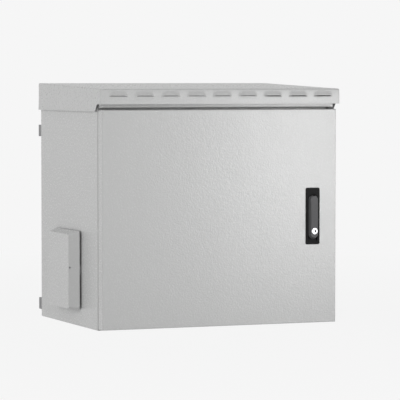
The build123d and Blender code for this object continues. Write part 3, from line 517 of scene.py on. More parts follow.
def colour_with_painted_relief_light(tree, shader, colour, mask, output, painted_relief_light):
    """The drifting colour, lighter where the mask is high and darker where it is low: a painted highlight on
    the tops of the grain or the rims of the cells, and painted shade in the hollows and pores.
    """
    tone = place(tree, "ShaderNodeHueSaturation")
    span = place(tree, "ShaderNodeMapRange", values={"To Min": 1.0 - painted_relief_light, "To Max": 1.0 + painted_relief_light})
    join(tree, mask, output, span, "Value")
    join(tree, span, "Result", tone, "Value")
    join(tree, colour, "Colour", tone, "Color")
    join(tree, tone, "Color", shader, "Base Color")


# Finishes


def finish(name, build):
    """A finish by name, built once."""
    if name in bpy.data.materials:
        return bpy.data.materials[name]
    return build(name)


def peel_skin(tree, shader, colour, grains, fine_share, painted_relief_light, rough_from, rough_to, depth, strength):
    """A sprayed or cast skin: colour with painted light and shade on the peel grain, lighter on its tops and
    darker between them, and roughness and bump from the same grain.
    """
    grain = grouped(tree, "Peel grain", peel_grain, {"Grains per metre": grains, "Fine share": fine_share})
    # The colour is lighter on the grain's tops and darker between them: a painted highlight and painted shade
    # on the grain.
    colour_with_painted_relief_light(tree, shader, colour, grain, "Tops", painted_relief_light)
    roughened(tree, shader, grain, "Tops", rough_from, rough_to)
    bumped(tree, shader, grain, "Height", depth, strength)


def sprayed_coat(name, rough_from, rough_to):
    """Light grey powder coat with a fine orange-peel texture, between two roughnesses."""
    paint = bpy.context.scene.cabinet_paint
    material, tree, shader = new_material(name)
    colour = drifting_colour(tree, paint.colour, paint.drift, patches=3.0)
    # The grain's painted highlight and painted shade are very faint on the coat.
    peel_skin(
        tree, shader, colour, grains=paint.grains_per_metre, fine_share=0.4, painted_relief_light=0.004,
        rough_from=rough_from, rough_to=rough_to, depth=paint.grain_depth, strength=1.0,
    )
    shader.inputs["Specular IOR Level"].default_value = paint.gloss
    return material


def powder_coat(name):
    """The coat of the body, the door and the hoods."""
    return sprayed_coat(name, rough_from=0.28, rough_to=0.2)


def roof_coat(name):
    """The roof's coat, a little rougher than the walls'."""
    return sprayed_coat(name, rough_from=0.34, rough_to=0.24)


def cast_skin(name, tint, rough_from, rough_to, gloss=0.5):
    """A coated die casting or a moulding with a fine matt skin."""
    material, tree, shader = new_material(name)
    colour = drifting_colour(tree, tint, drift=0.08, patches=30.0)
    # A painted highlight on the grain's tops and painted shade between them.
    peel_skin(
        tree, shader, colour, grains=1500.0, fine_share=0.5, painted_relief_light=0.12,
        rough_from=rough_from, rough_to=rough_to, depth=0.1 * MM, strength=0.5,
    )
    shader.inputs["Specular IOR Level"].default_value = gloss
    return material


def black_cast(name):
    """The handle base's black coat."""
    tint = bpy.context.scene.cabinet_handle.base_colour
    return cast_skin(name, tint, rough_from=0.6, rough_to=0.5, gloss=0.08)


def lever_cast(name):
    """The lever's dark grey coat."""
    tint = bpy.context.scene.cabinet_handle.lever_colour
    return cast_skin(name, tint, rough_from=0.5, rough_to=0.38, gloss=0.2)


def black_moulding(name):
    """Matt black moulded plastic."""
    return cast_skin(name, (0.018, 0.018, 0.019), rough_from=0.62, rough_to=0.5)


def steel(name, tint, rough_from, rough_to, streaks, along, depth):
    """Bare or plated steel with streaks drawn out along Z by a share."""
    material, tree, shader = new_material(name)
    colour = drifting_colour(tree, tint, drift=0.06, patches=25.0)
    values = {"Streaks per metre": streaks, "Stretch": (1.0, 1.0, along)}
    lines = grouped(tree, "Drawn streaks", drawn_streaks, values)
    join(tree, colour, "Colour", shader, "Base Color")
    shader.inputs["Metallic"].default_value = 1.0
    roughened(tree, shader, lines, "Shine", rough_from, rough_to)
    bumped(tree, shader, lines, "Height", depth, strength=0.35)
    return material


def zinc_plate(name):
    """Dull zinc plating over rolled sheet."""
    tint = (0.56, 0.57, 0.58)
    return steel(name, tint, rough_from=0.48, rough_to=0.34, streaks=700.0, along=0.05, depth=0.06 * MM)


def bright_steel(name):
    """Plain turned steel."""
    tint = (0.62, 0.62, 0.63)
    return steel(name, tint, rough_from=0.3, rough_to=0.2, streaks=1600.0, along=0.15, depth=0.03 * MM)


def dark_screw(name):
    """Blackened steel of the screws on the outside."""
    tint = (0.22, 0.22, 0.225)
    return steel(name, tint, rough_from=0.5, rough_to=0.38, streaks=1600.0, along=0.3, depth=0.03 * MM)


def lock_chrome(name):
    """Satin plating on the lock."""
    tint = (0.7, 0.7, 0.71)
    return steel(name, tint, rough_from=0.5, rough_to=0.4, streaks=900.0, along=1.0, depth=0.02 * MM)


def bracket_steel(name):
    """Dark passivated steel of the wall brackets."""
    material, tree, shader = new_material(name)
    colour = drifting_colour(tree, (0.27, 0.27, 0.275), drift=0.08, patches=40.0)
    # A painted highlight on the grain's tops and painted shade between them.
    peel_skin(
        tree, shader, colour, grains=900.0, fine_share=0.5, painted_relief_light=0.06,
        rough_from=0.6, rough_to=0.45, depth=0.1 * MM, strength=0.5,
    )
    shader.inputs["Metallic"].default_value = 0.35
    return material


def foam(name, tint, cells, depth, painted_relief_light):
    """A soft open-celled material, with painted shade in its pores and lighter cell rims."""
    material, tree, shader = new_material(name)
    colour = drifting_colour(tree, tint, drift=0.1, patches=60.0)
    pores = grouped(tree, "Foam cells", foam_cells, {"Cells per metre": cells})
    # The colour is darker in the pores and lighter on the cells' rims: painted shade in the pores.
    colour_with_painted_relief_light(tree, shader, colour, pores, "Pores", painted_relief_light)
    roughened(tree, shader, pores, "Pores", rough_from=0.95, rough_to=0.8)
    bumped(tree, shader, pores, "Height", depth, strength=0.8)
    return material


def filter_fleece(name):
    """Coarse white filter fleece."""
    # Painted shade in the fleece's pores, with lighter cell rims.
    return foam(name, (0.6, 0.61, 0.57), cells=650.0, depth=0.8 * MM, painted_relief_light=0.16)


def seal_foam(name):
    """The black foamed door seal."""
    # Painted shade in the seal's pores, with lighter cell rims.
    return foam(name, (0.028, 0.028, 0.03), cells=1400.0, depth=0.3 * MM, painted_relief_light=0.2)


def dressed(obj, material):
    """Gives a piece one finish."""
    obj.data.materials.clear()
    obj.data.materials.append(material)
    return obj


def evened(obj):
    """Evens the shading over a piece's flats and roundings."""
    shading = obj.modifiers.new("Even shading", "WEIGHTED_NORMAL")
    shading.keep_sharp = False


def softened(obj, width):
    """Rounds the sharp edges of a piece and evens its shading."""
    weld = obj.modifiers.new("Joined corners", "WELD")
    weld.merge_threshold = SAME_CORNER
    flats = obj.modifiers.new("Clear flats", "DECIMATE")
    flats.decimate_type = "DISSOLVE"
    flats.angle_limit = FLAT_ANGLE
    bevel = obj.modifiers.new("Soft edges", "BEVEL")
    bevel.width = width
    bevel.segments = EDGE_STEPS
    bevel.limit_method = "ANGLE"
    bevel.angle_limit = SHARP_ANGLE
    bevel.use_clamp_overlap = True
    evened(obj)


def dress_nodes(names, material, edge):
    """One finish and one edge rounding for several carried-over pieces."""
    for name in names:
        softened(dressed(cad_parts[name], material), edge)


# Mesh building


def new_piece(name, mesh_builder, body, material):
    """A mesh piece that rides a body and takes a finish."""
    mesh = bpy.data.meshes.new(name)
    solid = bmesh.new()
    mesh_builder(solid)
    bmesh.ops.recalc_face_normals(solid, faces=solid.faces)
    for face in solid.faces:
        face.smooth = True
    solid.to_mesh(mesh)
    solid.free()
    obj = bpy.data.objects.new(name, mesh)
    bpy.context.scene.collection.objects.link(obj)
    dressed(obj, material)
    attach(obj, body)
    return obj


def walled(solid, pairs):
    """Faces between each pair of rings."""
    for ring, following in pairs:
        for step, corner in enumerate(ring):
            after = (step + 1) % len(ring)
            solid.faces.new((corner, ring[after], following[after], following[step]))


def ring_corners(solid, rings):
    """The corners of a mesh at each ring's points."""
    return [[solid.verts.new(point) for point in ring] for ring in rings]


def bridged(solid, rings):
    """Faces between rings of points, with a face at each end."""
    made = ring_corners(solid, rings)
    walled(solid, zip(made, made[1:]))
    solid.faces.new(made[0][::-1])
    solid.faces.new(made[-1])


def looped(solid, rings):
    """Faces between rings of points that run round in a closed loop."""
    made = ring_corners(solid, rings)
    walled(solid, zip(made, made[1:] + made[:1]))


def lobed_ring(radius, height, steps, placed, lobes=0, lobe_share=0.0):
    """A ring of points about a local Z axis, with a star of lobes if there are any."""
    ring = []
    for step in range(steps):
        turn = 2 * math.pi * step / steps
        reach = radius * (1 + lobe_share * math.cos(lobes * turn))
        ring.append(placed @ Vector((reach * math.cos(turn), reach * math.sin(turn), height)))
    return ring


def pan_screw(solid, place_at, outward, radius, height):
    """A pan head with a six-lobed recess, standing on a face."""
    placed = Matrix.Translation(place_at) @ outward.to_track_quat("Z", "Y").to_matrix().to_4x4()
    rings = [lobed_ring(radius * wide, height * high, SCREW_STEPS, placed) for wide, high in PAN_SHARES]
    for wide, high in RECESS_SHARES:
        ring = lobed_ring(radius * wide, height * high, SCREW_STEPS, placed, RECESS_LOBES, RECESS_LOBE_SHARE)
        rings.append(ring)
    bridged(solid, rings)


def screw_set(name, body, places, scale=1.0, dark=False):
    """Several like screws on one body, each a place and the way its head faces."""
    fittings = bpy.context.scene.cabinet_fittings
    radius = fittings.screw_radius * scale
    height = fittings.screw_height * scale

    def build(solid):
        for point, outward in places:
            pan_screw(solid, Vector(point), Vector(outward), radius, height)

    if dark:
        return new_piece(name, build, body, finish("Dark screw steel", dark_screw))
    return new_piece(name, build, body, finish("Bright steel", bright_steel))


def middle(node):
    """The middle of a carried-over piece's box."""
    low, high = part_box(node)
    return (low + high) / 2


# Pieces


class CABINET_OT_sheet_metal(Operator):
    """Powder coat for the walls, floor, top, gland plate, door and hoods"""

    bl_idname = "cabinet.sheet_metal"
    bl_label = "Coated Sheet Metal"

    def execute(self, context):
        coat = finish("Grey powder coat", powder_coat)
        edge = context.scene.cabinet_paint.edge
        dress_nodes(PAINTED_SHEETS, coat, edge)
        dress_nodes(("door_panel",), coat, edge)
        dress_nodes(HOODS, coat, HOOD_EDGE)
        return {"FINISHED"}


class CABINET_OT_roof(Operator):
    """The roof as one folded sheet, with louvres pressed into its front skirt"""

    bl_idname = "cabinet.roof"
    bl_label = "Pressed Roof"

    def execute(self, context):
        sheet = context.scene.cabinet_roof
        low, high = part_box("roof_canopy")

        def build(solid):
            self.shell(solid, sheet, low, high)

        coat = finish("Grey roof coat", roof_coat)
        roof = new_piece("pressed_roof", build, "cabinet", coat)
        folds = roof.modifiers.new("Folds", "BEVEL")
        folds.width = sheet.fold
        folds.segments = FOLD_STEPS
        folds.limit_method = "ANGLE"
        folds.angle_limit = FOLD_ANGLE
        thick = roof.modifiers.new("Gauge", "SOLIDIFY")
        thick.thickness = sheet.gauge
        thick.offset = -1.0
        evened(roof)
        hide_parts("roof_canopy")
        return {"FINISHED"}

    def first_louvre(self, sheet):
        """The middle of the louvre at the left end."""
        return -sheet.pitch * (sheet.louvres - 1) / 2

    def swell(self, sheet, x, up):
        """How far a louvre is pressed out at a place along the skirt and up it, from nought to one."""
        first = self.first_louvre(sheet)
        nearest = round((x - first) / sheet.pitch)
        nearest = min(max(nearest, 0), sheet.louvres - 1)
        room = sheet.width / 2 - abs(x - first - nearest * sheet.pitch)
        share = min(max(room / (sheet.soft_end + sheet.spread * up), 0.0), 1.0)
        return share * share * (3 - 2 * share)

    def columns(self, sheet, half):
        """The places along the skirt: close together over each louvre."""
        first = self.first_louvre(sheet)
        places = [-half]
        for louvre in range(sheet.louvres):
            for step in range(LOUVRE_STEPS + 1):
                places.append(first + louvre * sheet.pitch + sheet.width * (step / LOUVRE_STEPS - 0.5))
        return places + [half]

    def push(self, down):
        """How far a louvre stands out at a place down it, eased in at its top, from nought to one."""
        ease = LOUVRE_EASE_SHARE
        out = down * down / (2 * ease) if down < ease else down - ease / 2
        return out / (1 - ease / 2)

    def shell(self, solid, sheet, low, high):
        """The sheet's outer face: front skirt, top, two sides and the short rear edge."""
        front = low.y + sheet.reach
        top_front = low.z + ROOF_FRONT_TOP
        skirt = low.z + ROOF_SKIRT_FOOT
        lip = low.z + ROOF_LOUVRE_LIP
        columns = self.columns(sheet, high.x)
        lower = [[solid.verts.new((x, front, z)) for x in columns] for z in (skirt, lip)]
        upper = []
        for row in range(LOUVRE_ROWS + 1):
            down = 1 - row / LOUVRE_ROWS
            push = self.push(down)
            line = []
            for index, x in enumerate(columns):
                out = self.swell(sheet, x, 1 - down)
                if row == 0 and out == 0:
                    line.append(lower[1][index])
                    continue
                z = lip + (sheet.height - sheet.lip_rise * out) * (1 - down) + sheet.lip_rise * out
                back = sheet.lean * ((z - lip) / (top_front - lip)) ** 2
                line.append(solid.verts.new((x, front + back - sheet.reach * out * push, z)))
            upper.append(line)
        upper.append([solid.verts.new((x, front + sheet.lean, top_front)) for x in columns])
        for below, above in list(zip(lower, lower[1:])) + list(zip(upper, upper[1:])):
            for index in range(len(columns) - 1):
                solid.faces.new((below[index], below[index + 1], above[index + 1], above[index]))
        self.cover(solid, lower[:1] + upper, low, high, skirt)

    def cover(self, solid, rows, low, high, skirt):
        """The top, the sides with their front notches, and the rear edge."""
        notch_top = low.y + NOTCH_TOP_REACH
        notch = low.y + NOTCH_FOOT_REACH
        rear_lip = low.z + ROOF_REAR_LIP
        rear = {}
        for side, column in ((low.x, 0), (high.x, -1)):
            ends = ((high.y, high.z), (high.y, rear_lip), (high.y, low.z), (notch, low.z), (notch_top, skirt))
            made = [solid.verts.new((side, y, z)) for y, z in ends]
            rear[column] = made
            solid.faces.new([row[column] for row in rows] + made)
        left, right = rear[0], rear[-1]
        solid.faces.new(rows[-1] + [right[0], left[0]])
        solid.faces.new((left[0], right[0], right[1], left[1]))


class CABINET_OT_plated_steel(Operator):
    """Zinc plating for the rails, hinges and small steel pieces, and bright steel for the pins and nut"""

    bl_idname = "cabinet.plated_steel"
    bl_label = "Plated Steel"

    def execute(self, context):
        zinc = finish("Dull zinc plate", zinc_plate)
        dress_nodes(PLATED_SHEETS, zinc, PLATED_SHEET_EDGE)
        dress_nodes(PLATED_SOLIDS, zinc, PLATED_SOLID_EDGE)
        dress_nodes(BRIGHT_PINS, finish("Bright steel", bright_steel), PIN_EDGE)
        return {"FINISHED"}


class CABINET_OT_wall_brackets(Operator):
    """Dark steel for the brackets that stand the cabinet off the wall"""

    bl_idname = "cabinet.wall_brackets"
    bl_label = "Wall Brackets"

    def execute(self, context):
        dress_nodes(WALL_BRACKETS, finish("Dark bracket steel", bracket_steel), BRACKET_EDGE)
        return {"FINISHED"}


class CABINET_OT_swing_handle(Operator):
    """Coats for the handle's base, spindle and lever, plating for its lock, and the keyway's shutter"""

    bl_idname = "cabinet.swing_handle"
    bl_label = "Swing Handle"

    def execute(self, context):
        edge = context.scene.cabinet_handle.edge
        dress_nodes(("handle_base", "handle_spindle"), finish("Black cast coat", black_cast), edge)
        dress_nodes(("handle_lever",), finish("Grey lever coat", lever_cast), edge)
        dress_nodes(("lock_cylinder", "lock_plug"), finish("Lock chrome", lock_chrome), LOCK_EDGE)
        self.keyway_shutter()
        return {"FINISHED"}

    def keyway_shutter(self):
        """The dark half-round shutter beside the plug's keyway."""
        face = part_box("lock_plug")[0].y
        centre = middle("lock_cylinder")
        turns = [math.pi * (step / SHUTTER_STEPS - 0.5) for step in range(SHUTTER_STEPS + 1)]
        arc = [(SHUTTER_RADIUS * math.cos(turn), SHUTTER_RADIUS * math.sin(turn)) for turn in turns]

        def build(solid):
            levels = (face + SHUTTER_SUNK, face - SHUTTER_PROUD)
            bridged(solid, [[(centre.x + x, y, centre.z + z) for x, z in arc] for y in levels])

        coat = finish("Grey lever coat", lever_cast)
        new_piece("keyway_shutter", build, "lock_plug", coat)


class CABINET_OT_door_seal(Operator):
    """The foamed seal as a domed bead round the inside of the door"""

    bl_idname = "cabinet.door_seal"
    bl_label = "Door Seal"

    def execute(self, context):
        low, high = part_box("door_gasket")

        def build(solid):
            line = self.centre_line(low, high)
            looped(solid, [self.section(point, across, low, high) for point, across in line])

        seal = new_piece("foamed_seal", build, "door", finish("Black seal foam", seal_foam))
        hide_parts("door_gasket")
        return {"FINISHED"}

    def centre_line(self, low, high):
        """Points round the seal with the way across it at each."""
        inset = SEAL_WIDTH / 2
        mid = (low + high) / 2
        half_x = (high.x - low.x) / 2 - inset
        half_z = (high.z - low.z) / 2 - inset
        radius = SEAL_CORNER - inset
        for quarter, (side_x, side_z) in enumerate(((1, 1), (-1, 1), (-1, -1), (1, -1))):
            pivot = mid + Vector((side_x * (half_x - radius), 0, side_z * (half_z - radius)))
            for step in range(SEAL_CORNER_STEPS + 1):
                turn = (quarter + step / SEAL_CORNER_STEPS) * math.pi / 2
                across = Vector((math.cos(turn), 0, math.sin(turn)))
                yield pivot + across * radius, across

    def section(self, point, across, low, high):
        """The domed section of the seal at a point of its centre line."""
        other_half = tuple((-wide, deep) for wide, deep in SEAL_HALF_SHARES[-2::-1])
        ring = []
        for wide, deep in SEAL_HALF_SHARES + other_half:
            place_at = point + across * (wide * SEAL_WIDTH)
            ring.append(Vector((place_at.x, low.y + deep * (high.y - low.y), place_at.z)))
        return ring


class CABINET_OT_filters(Operator):
    """Moulded frames and soft fleece mats behind the side vents"""

    bl_idname = "cabinet.filters"
    bl_label = "Side Filters"

    def execute(self, context):
        moulding = finish("Black moulding", black_moulding)
        dress_nodes(tuple(f"filter_frame_{side}" for side in INWARD), moulding, FILTER_FRAME_EDGE)
        fleece = finish("Filter fleece", filter_fleece)
        for side in INWARD:
            node = f"filter_mat_{side}"
            low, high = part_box(node)

            def build(solid, low=low, high=high):
                self.fleece_mat(solid, low, high)

            mat = new_piece(f"fleece_mat_{side}", build, "cabinet", fleece)
            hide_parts(node)
        return {"FINISHED"}

    def fleece_face(self, solid, low, high, face, inward):
        """A grid of corners over one face of a mat, tucked in at the rim and a little lumpy."""
        grid = []
        for row in range(MAT_STEPS + 1):
            line = []
            for column in range(MAT_STEPS + 1):
                v = row / MAT_STEPS
                u = column / MAT_STEPS
                y = low.y + (high.y - low.y) * u
                z = low.z + (high.z - low.z) * v
                rim = min(u, 1 - u, v, 1 - v)
                tuck = MAT_TUCK * (1 - min(1.0, rim / MAT_RIM_SHARE)) ** 2
                spot = Vector((face * MAT_LAYERS_PER_METRE, y * MAT_LUMPS_PER_METRE, z * MAT_LUMPS_PER_METRE))
                lump = MAT_LUMP * (0.5 + 0.5 * noise.noise(spot))
                line.append(solid.verts.new((face + inward * (tuck + lump), y, z)))
            grid.append(line)
        return grid

    def border(self, grid):
        """The corners round the rim of a grid, in order."""
        starts = [line[0] for line in grid]
        ends = [line[-1] for line in grid]
        return grid[0][:-1] + ends[:-1] + grid[-1][:0:-1] + starts[:0:-1]

    def fleece_mat(self, solid, low, high):
        """One mat: two lumpy faces, joined round the rim."""
        front = self.fleece_face(solid, low, high, low.x, 1)
        back = self.fleece_face(solid, low, high, high.x, -1)
        for grid in (front, back):
            for below, above in zip(grid, grid[1:]):
                for column in range(MAT_STEPS):
                    solid.faces.new((below[column], below[column + 1], above[column + 1], above[column]))
        pairs = list(zip(self.border(front), self.border(back)))
        for (near, far), (next_near, next_far) in zip(pairs, pairs[1:] + pairs[:1]):
            solid.faces.new((near, next_near, next_far, far))


class CABINET_OT_fan(Operator):
    """The fan's moulded frame, and a rotor with twisted blades"""

    bl_idname = "cabinet.fan"
    bl_label = "Fan"

    def execute(self, context):
        moulding = finish("Black moulding", black_moulding)
        dress_nodes(("fan_frame",), moulding, FAN_FRAME_EDGE)
        fittings = context.scene.cabinet_fittings
        low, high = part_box("fan_rotor")
        centre = middle("fan_frame")
        placed = Matrix.Translation((centre.x, centre.y, 0))
        hub_low = low.z + FAN_SHAFT_LENGTH
        mid_z = (hub_low + high.z) / 2

        def build(solid):
            self.hub(solid, placed, low.z, hub_low, high.z)
            for blade in range(fittings.blades):
                self.blade(solid, placed, blade, mid_z, fittings)

        rotor = new_piece("fan_blades", build, "fan_rotor", moulding)
        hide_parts("fan_rotor")
        return {"FINISHED"}

    def hub(self, solid, placed, shaft_low, hub_low, top):
        """The hub on its shaft, with a rounded top and a shallow dish in it."""
        profile = (
            (FAN_SHAFT, shaft_low),
            (FAN_SHAFT, hub_low),
            (FAN_HUB - HUB_CHAMFER, hub_low),
            (FAN_HUB, hub_low + HUB_CHAMFER),
            (FAN_HUB, top - HUB_ROUND),
            (FAN_HUB - HUB_ROUND_INSET, top - HUB_ROUND_INSET),
            (FAN_HUB - HUB_ROUND, top),
            (FAN_HUB * HUB_DISH_SHARE, top),
            (FAN_HUB * HUB_DISH_FLOOR_SHARE, top - HUB_DISH_DEPTH),
        )
        bridged(solid, [lobed_ring(wide, tall, HUB_STEPS, placed) for wide, tall in profile])

    def blade(self, solid, placed, index, mid_z, fittings):
        """One blade: a thin curved section that turns as it runs out from the hub."""
        root = FAN_HUB - BLADE_SUNK
        rings = []
        for station in range(BLADE_STATIONS + 1):
            out = station / BLADE_STATIONS
            radius = root + (FAN_TIP - root) * out
            pitch = BLADE_ROOT_PITCH - fittings.blade_twist * out
            chord = BLADE_ROOT_CHORD + BLADE_CHORD_GAIN * out
            middle_turn = 2 * math.pi * index / fittings.blades + BLADE_SWEEP * out
            ring = []
            for side in (1, -1):
                for step in range(BLADE_STEPS):
                    along = (step / (BLADE_STEPS - 1) - 0.5) * side
                    arch = 1 - (2 * along) ** 2
                    thick = side * BLADE_HALF_THICKNESS * math.sqrt(max(BLADE_EDGE_SHARE, arch))
                    flat = Vector((along * chord, BLADE_CAMBER * arch + thick))
                    round_by = flat.x * math.cos(pitch) - flat.y * math.sin(pitch)
                    rise = flat.x * math.sin(pitch) + flat.y * math.cos(pitch)
                    turn = middle_turn + round_by / radius
                    spot = Vector((radius * math.cos(turn), radius * math.sin(turn), mid_z + rise))
                    ring.append(placed @ spot)
            rings.append(ring)
        bridged(solid, rings)


class CABINET_OT_screws(Operator):
    """The screws of the hoods, hinges, rails, handle, gland plate, filters and fan"""

    bl_idname = "cabinet.screws"
    bl_label = "Screws"

    def execute(self, context):
        self.hood_screws()
        self.hinge_screws()
        self.rail_screws()
        self.clamp_screws()
        self.gland_screws()
        self.filter_screws()
        self.fan_screws()
        return {"FINISHED"}

    def hood_screws(self):
        """One on each bevelled end of a hood, into the clip behind it."""
        low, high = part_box("vent_hood_left")
        bevel_run = 15.0 * MM
        above_middle = 6.5 * MM
        inset_share = 0.12
        depth = high.x - low.x
        height = (low.z + high.z) / 2 + above_middle
        places = []
        for side in (-1, 1):
            for end in (-1, 1):
                rim = low.y if end < 0 else high.y
                x = -(low.x + depth * inset_share) * side
                y = rim - end * bevel_run * (1 - inset_share)
                outward = Vector((side * bevel_run, end * depth, 0)).normalized()
                places.append(((x, y, height), outward))
        screw_set("hood_screws", "cabinet", places, scale=0.62, dark=True)

    def hinge_screws(self):
        """Two in the foot of each hinge arm."""
        inset = 3.5 * MM
        foot = 3.0 * MM
        off_middle = 10.5 * MM
        places = []
        for level in LEVELS:
            node = f"hinge_arm_{level}"
            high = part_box(node)[1]
            for side in (-1, 1):
                z = middle(node).z + side * off_middle
                places.append(((high.x - inset, high.y - foot, z), (0, -1, 0)))
        screw_set("hinge_screws", "cabinet", places, scale=0.85)

    def rail_screws(self):
        """Where each rail crosses its two supports."""
        gauge = 2.0 * MM
        from_front = (12.0 * MM, 28.0 * MM)
        places = []
        for side, inward in INWARD.items():
            low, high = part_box(f"rack_rail_{side}")
            wall = low.x if side == "left" else high.x
            for level in LEVELS:
                z = middle(f"rail_support_{level}_{side}").z
                for back in from_front:
                    places.append(((wall + inward * gauge, low.y + back, z), (inward, 0, 0)))
        screw_set("rail_screws", "cabinet", places)

    def clamp_screws(self):
        """One through each clamp behind the handle."""
        low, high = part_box("handle_clamps")
        x = middle("handle_clamps").x
        inset = 5.5 * MM
        places = [((x, high.y, z), (0, 1, 0)) for z in (low.z + inset, high.z - inset)]
        screw_set("clamp_screws", "door", places)

    def gland_screws(self):
        """Round the border of the gland plate."""
        low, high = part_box("gland_plate")
        inset = 7.5 * MM
        places = []
        for x in (low.x + inset, (low.x + high.x) / 2, high.x - inset):
            for y in (low.y + inset, high.y - inset):
                places.append(((x, y, high.z), (0, 0, 1)))
        screw_set("gland_screws", "cabinet", places)

    def filter_screws(self):
        """At the corners of each filter frame."""
        places = []
        inset = 5.5 * MM
        for side, inward in INWARD.items():
            low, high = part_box(f"filter_frame_{side}")
            x = high.x if side == "left" else low.x
            for y in (low.y + inset, high.y - inset):
                for z in (low.z + inset, high.z - inset):
                    places.append(((x, y, z), (inward, 0, 0)))
        screw_set("filter_screws", "cabinet", places, scale=0.8)

    def fan_screws(self):
        """At the corners of the fan's frame."""
        low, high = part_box("fan_frame")
        inset = 7.0 * MM
        places = []
        for x in (low.x + inset, high.x - inset):
            for y in (low.y + inset, high.y - inset):
                places.append(((x, y, low.z), (0, 0, -1)))
        screw_set("fan_screws", "cabinet", places, scale=0.9)


# Stage


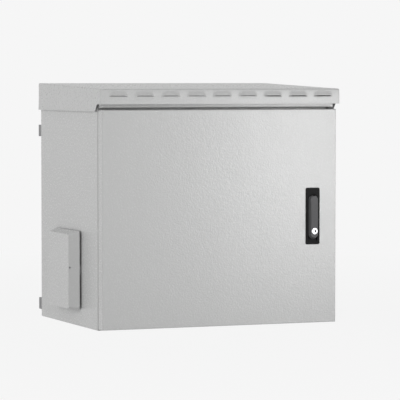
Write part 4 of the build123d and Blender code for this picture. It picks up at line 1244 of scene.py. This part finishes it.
class CABINET_OT_stage(Operator):
    """Floor, light and camera"""

    bl_idname = "cabinet.stage"
    bl_label = "Stage"

    def execute(self, context):
        stage = context.scene.cabinet_stage
        context.scene.view_settings.view_transform = "Standard"
        self.world(context, stage)
        self.floor(stage)
        self.softbox(
            "Front softbox", place_at=(-1.1, -2.5, 0.8), aim=(-0.1, -0.1, 0.3), size=(0.8, 0.8),
            power=stage.front_power, mirrored=False,
        )
        self.softbox(
            "Key softbox", place_at=(1.06, -2.03, 0.36), aim=(0.25, -0.22, 0.42), size=(0.24, 1.0),
            power=stage.key_power, mirrored=True,
        )
        self.softbox(
            "Side softbox", place_at=(-3.2, 0.6, 1.0), aim=(-0.3, 0.0, 0.3), size=(3.0, 2.0),
            power=stage.side_power, mirrored=False,
        )
        self.softbox(
            "Top softbox", place_at=(-0.4, -1.2, 3.0), aim=(0.0, -0.1, 0.5), size=(1.5, 1.5),
            power=stage.top_power, mirrored=True,
        )
        self.camera(context, stage)
        return {"FINISHED"}

    def seen_mask(self, tree):
        """One where the camera, a reflection or a refraction looks, and nought for light."""
        path = place(tree, "ShaderNodeLightPath")
        first = place(tree, "ShaderNodeMath", {"operation": "MAXIMUM"})
        second = place(tree, "ShaderNodeMath", {"operation": "MAXIMUM"})
        join(tree, path, "Is Camera Ray", first, 0)
        join(tree, path, "Is Glossy Ray", first, 1)
        join(tree, first, 0, second, 0)
        join(tree, path, "Is Transmission Ray", second, 1)
        return second

    def world(self, context, stage):
        """Even light from all round, seen as the pale backdrop."""
        world = bpy.data.worlds.new("Studio")
        world.use_nodes = True
        tree = world.node_tree
        tree.nodes.clear()
        light = place(tree, "ShaderNodeBackground", values={"Color": (1, 1, 1, 1), "Strength": stage.fill})
        pale = place(tree, "ShaderNodeBackground", values={"Color": (1, 1, 1, 1), "Strength": stage.backdrop})
        mix = place(tree, "ShaderNodeMixShader")
        output = place(tree, "ShaderNodeOutputWorld")
        join(tree, self.seen_mask(tree), 0, mix, 0)
        join(tree, light, 0, mix, 1)
        join(tree, pale, 0, mix, 2)
        join(tree, mix, 0, output, 0)
        context.scene.world = world

    def floor(self, stage):
        """A wide pale floor that keeps a faint shadow."""
        mesh = bpy.data.meshes.new("studio_floor")
        sides = ((-1, -1), (1, -1), (1, 1), (-1, 1))
        corners = [(x * FLOOR_REACH, y * FLOOR_REACH, FLOOR_LEVEL) for x, y in sides]
        mesh.from_pydata(corners, [], [(0, 1, 2, 3)])
        obj = bpy.data.objects.new("studio_floor", mesh)
        bpy.context.scene.collection.objects.link(obj)
        material = bpy.data.materials.new("Pale floor")
        material.use_nodes = True
        tree = material.node_tree
        tree.nodes.clear()
        matt = place(tree, "ShaderNodeBsdfDiffuse", values={"Color": (FLOOR_TONE, FLOOR_TONE, FLOOR_TONE, 1)})
        pale = place(tree, "ShaderNodeEmission", values={"Color": (1, 1, 1, 1), "Strength": stage.backdrop})
        where = place(tree, "ShaderNodeTexCoord")
        far = place(tree, "ShaderNodeVectorMath", {"operation": "LENGTH"})
        span = {"From Min": 0.6, "From Max": 2.5, "To Min": 0.97, "To Max": 1.0}
        fade = place(tree, "ShaderNodeMapRange", values=span)
        share = place(tree, "ShaderNodeMath", {"operation": "MULTIPLY"})
        join(tree, where, "Object", far, 0)
        join(tree, far, "Value", fade, "Value")
        join(tree, fade, "Result", share, 1)
        mix = place(tree, "ShaderNodeMixShader")
        output = place(tree, "ShaderNodeOutputMaterial")
        join(tree, self.seen_mask(tree), 0, share, 0)
        join(tree, share, 0, mix, 0)
        join(tree, matt, 0, mix, 1)
        join(tree, pale, 0, mix, 2)
        join(tree, mix, 0, output, 0)
        mesh.materials.append(material)

    def softbox(self, name, place_at, aim, size, power, mirrored):
        """A lamp that faces a point on the cabinet and that its glossy faces mirror or don't."""
        lamp = bpy.data.lights.new(name, "AREA")
        lamp.shape = "RECTANGLE"
        lamp.size, lamp.size_y = size
        lamp.energy = power
        obj = bpy.data.objects.new(name, lamp)
        obj.location = place_at
        obj.rotation_euler = (Vector(aim) - Vector(place_at)).to_track_quat("-Z", "Y").to_euler()
        obj.visible_glossy = mirrored
        bpy.context.scene.collection.objects.link(obj)

    def camera(self, context, stage):
        """The camera to the front left of the cabinet."""
        lens = bpy.data.cameras.new("Camera")
        lens.sensor_width = 36.0
        lens.lens = stage.lens
        lens.clip_end = 400.0
        obj = bpy.data.objects.new("Camera", lens)
        obj.location = stage.camera_place
        obj.rotation_euler = (math.pi / 2 - stage.camera_pitch, 0, -stage.camera_yaw)
        context.scene.collection.objects.link(obj)
        context.scene.camera = obj


# Panel and registration

OPERATORS = (
    CABINET_OT_sheet_metal,
    CABINET_OT_roof,
    CABINET_OT_plated_steel,
    CABINET_OT_wall_brackets,
    CABINET_OT_swing_handle,
    CABINET_OT_door_seal,
    CABINET_OT_filters,
    CABINET_OT_fan,
    CABINET_OT_screws,
    CABINET_OT_stage,
)
SETTINGS = (
    ("cabinet_paint", CabinetPaint),
    ("cabinet_roof", CabinetRoof),
    ("cabinet_handle", CabinetHandle),
    ("cabinet_fittings", CabinetFittings),
    ("cabinet_stage", CabinetStage),
)


class CABINET_PT_panel(Panel):
    """The cabinet's settings and steps"""

    bl_idname = "CABINET_PT_panel"
    bl_label = "Outdoor Rack Cabinet"
    bl_space_type = "VIEW_3D"
    bl_region_type = "UI"
    bl_category = "Cabinet"

    def draw(self, context):
        for name, settings in SETTINGS:
            box = self.layout.box()
            for label in settings.__annotations__:
                box.prop(getattr(context.scene, name), label)
        for operator in OPERATORS:
            self.layout.operator(operator.bl_idname)


def register():
    for name, settings in SETTINGS:
        bpy.utils.register_class(settings)
        setattr(bpy.types.Scene, name, PointerProperty(type=settings))
    for operator in OPERATORS:
        bpy.utils.register_class(operator)
    bpy.utils.register_class(CABINET_PT_panel)


def unregister():
    bpy.utils.unregister_class(CABINET_PT_panel)
    for operator in reversed(OPERATORS):
        bpy.utils.unregister_class(operator)
    for name, settings in reversed(SETTINGS):
        delattr(bpy.types.Scene, name)
        bpy.utils.unregister_class(settings)


def main():
    """Registers the add-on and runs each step."""
    register()
    bpy.ops.cabinet.sheet_metal()
    bpy.ops.cabinet.roof()
    bpy.ops.cabinet.plated_steel()
    bpy.ops.cabinet.wall_brackets()
    bpy.ops.cabinet.swing_handle()
    bpy.ops.cabinet.door_seal()
    bpy.ops.cabinet.filters()
    bpy.ops.cabinet.fan()
    bpy.ops.cabinet.screws()
    bpy.ops.cabinet.stage()


if __name__ == "__main__":
    main()
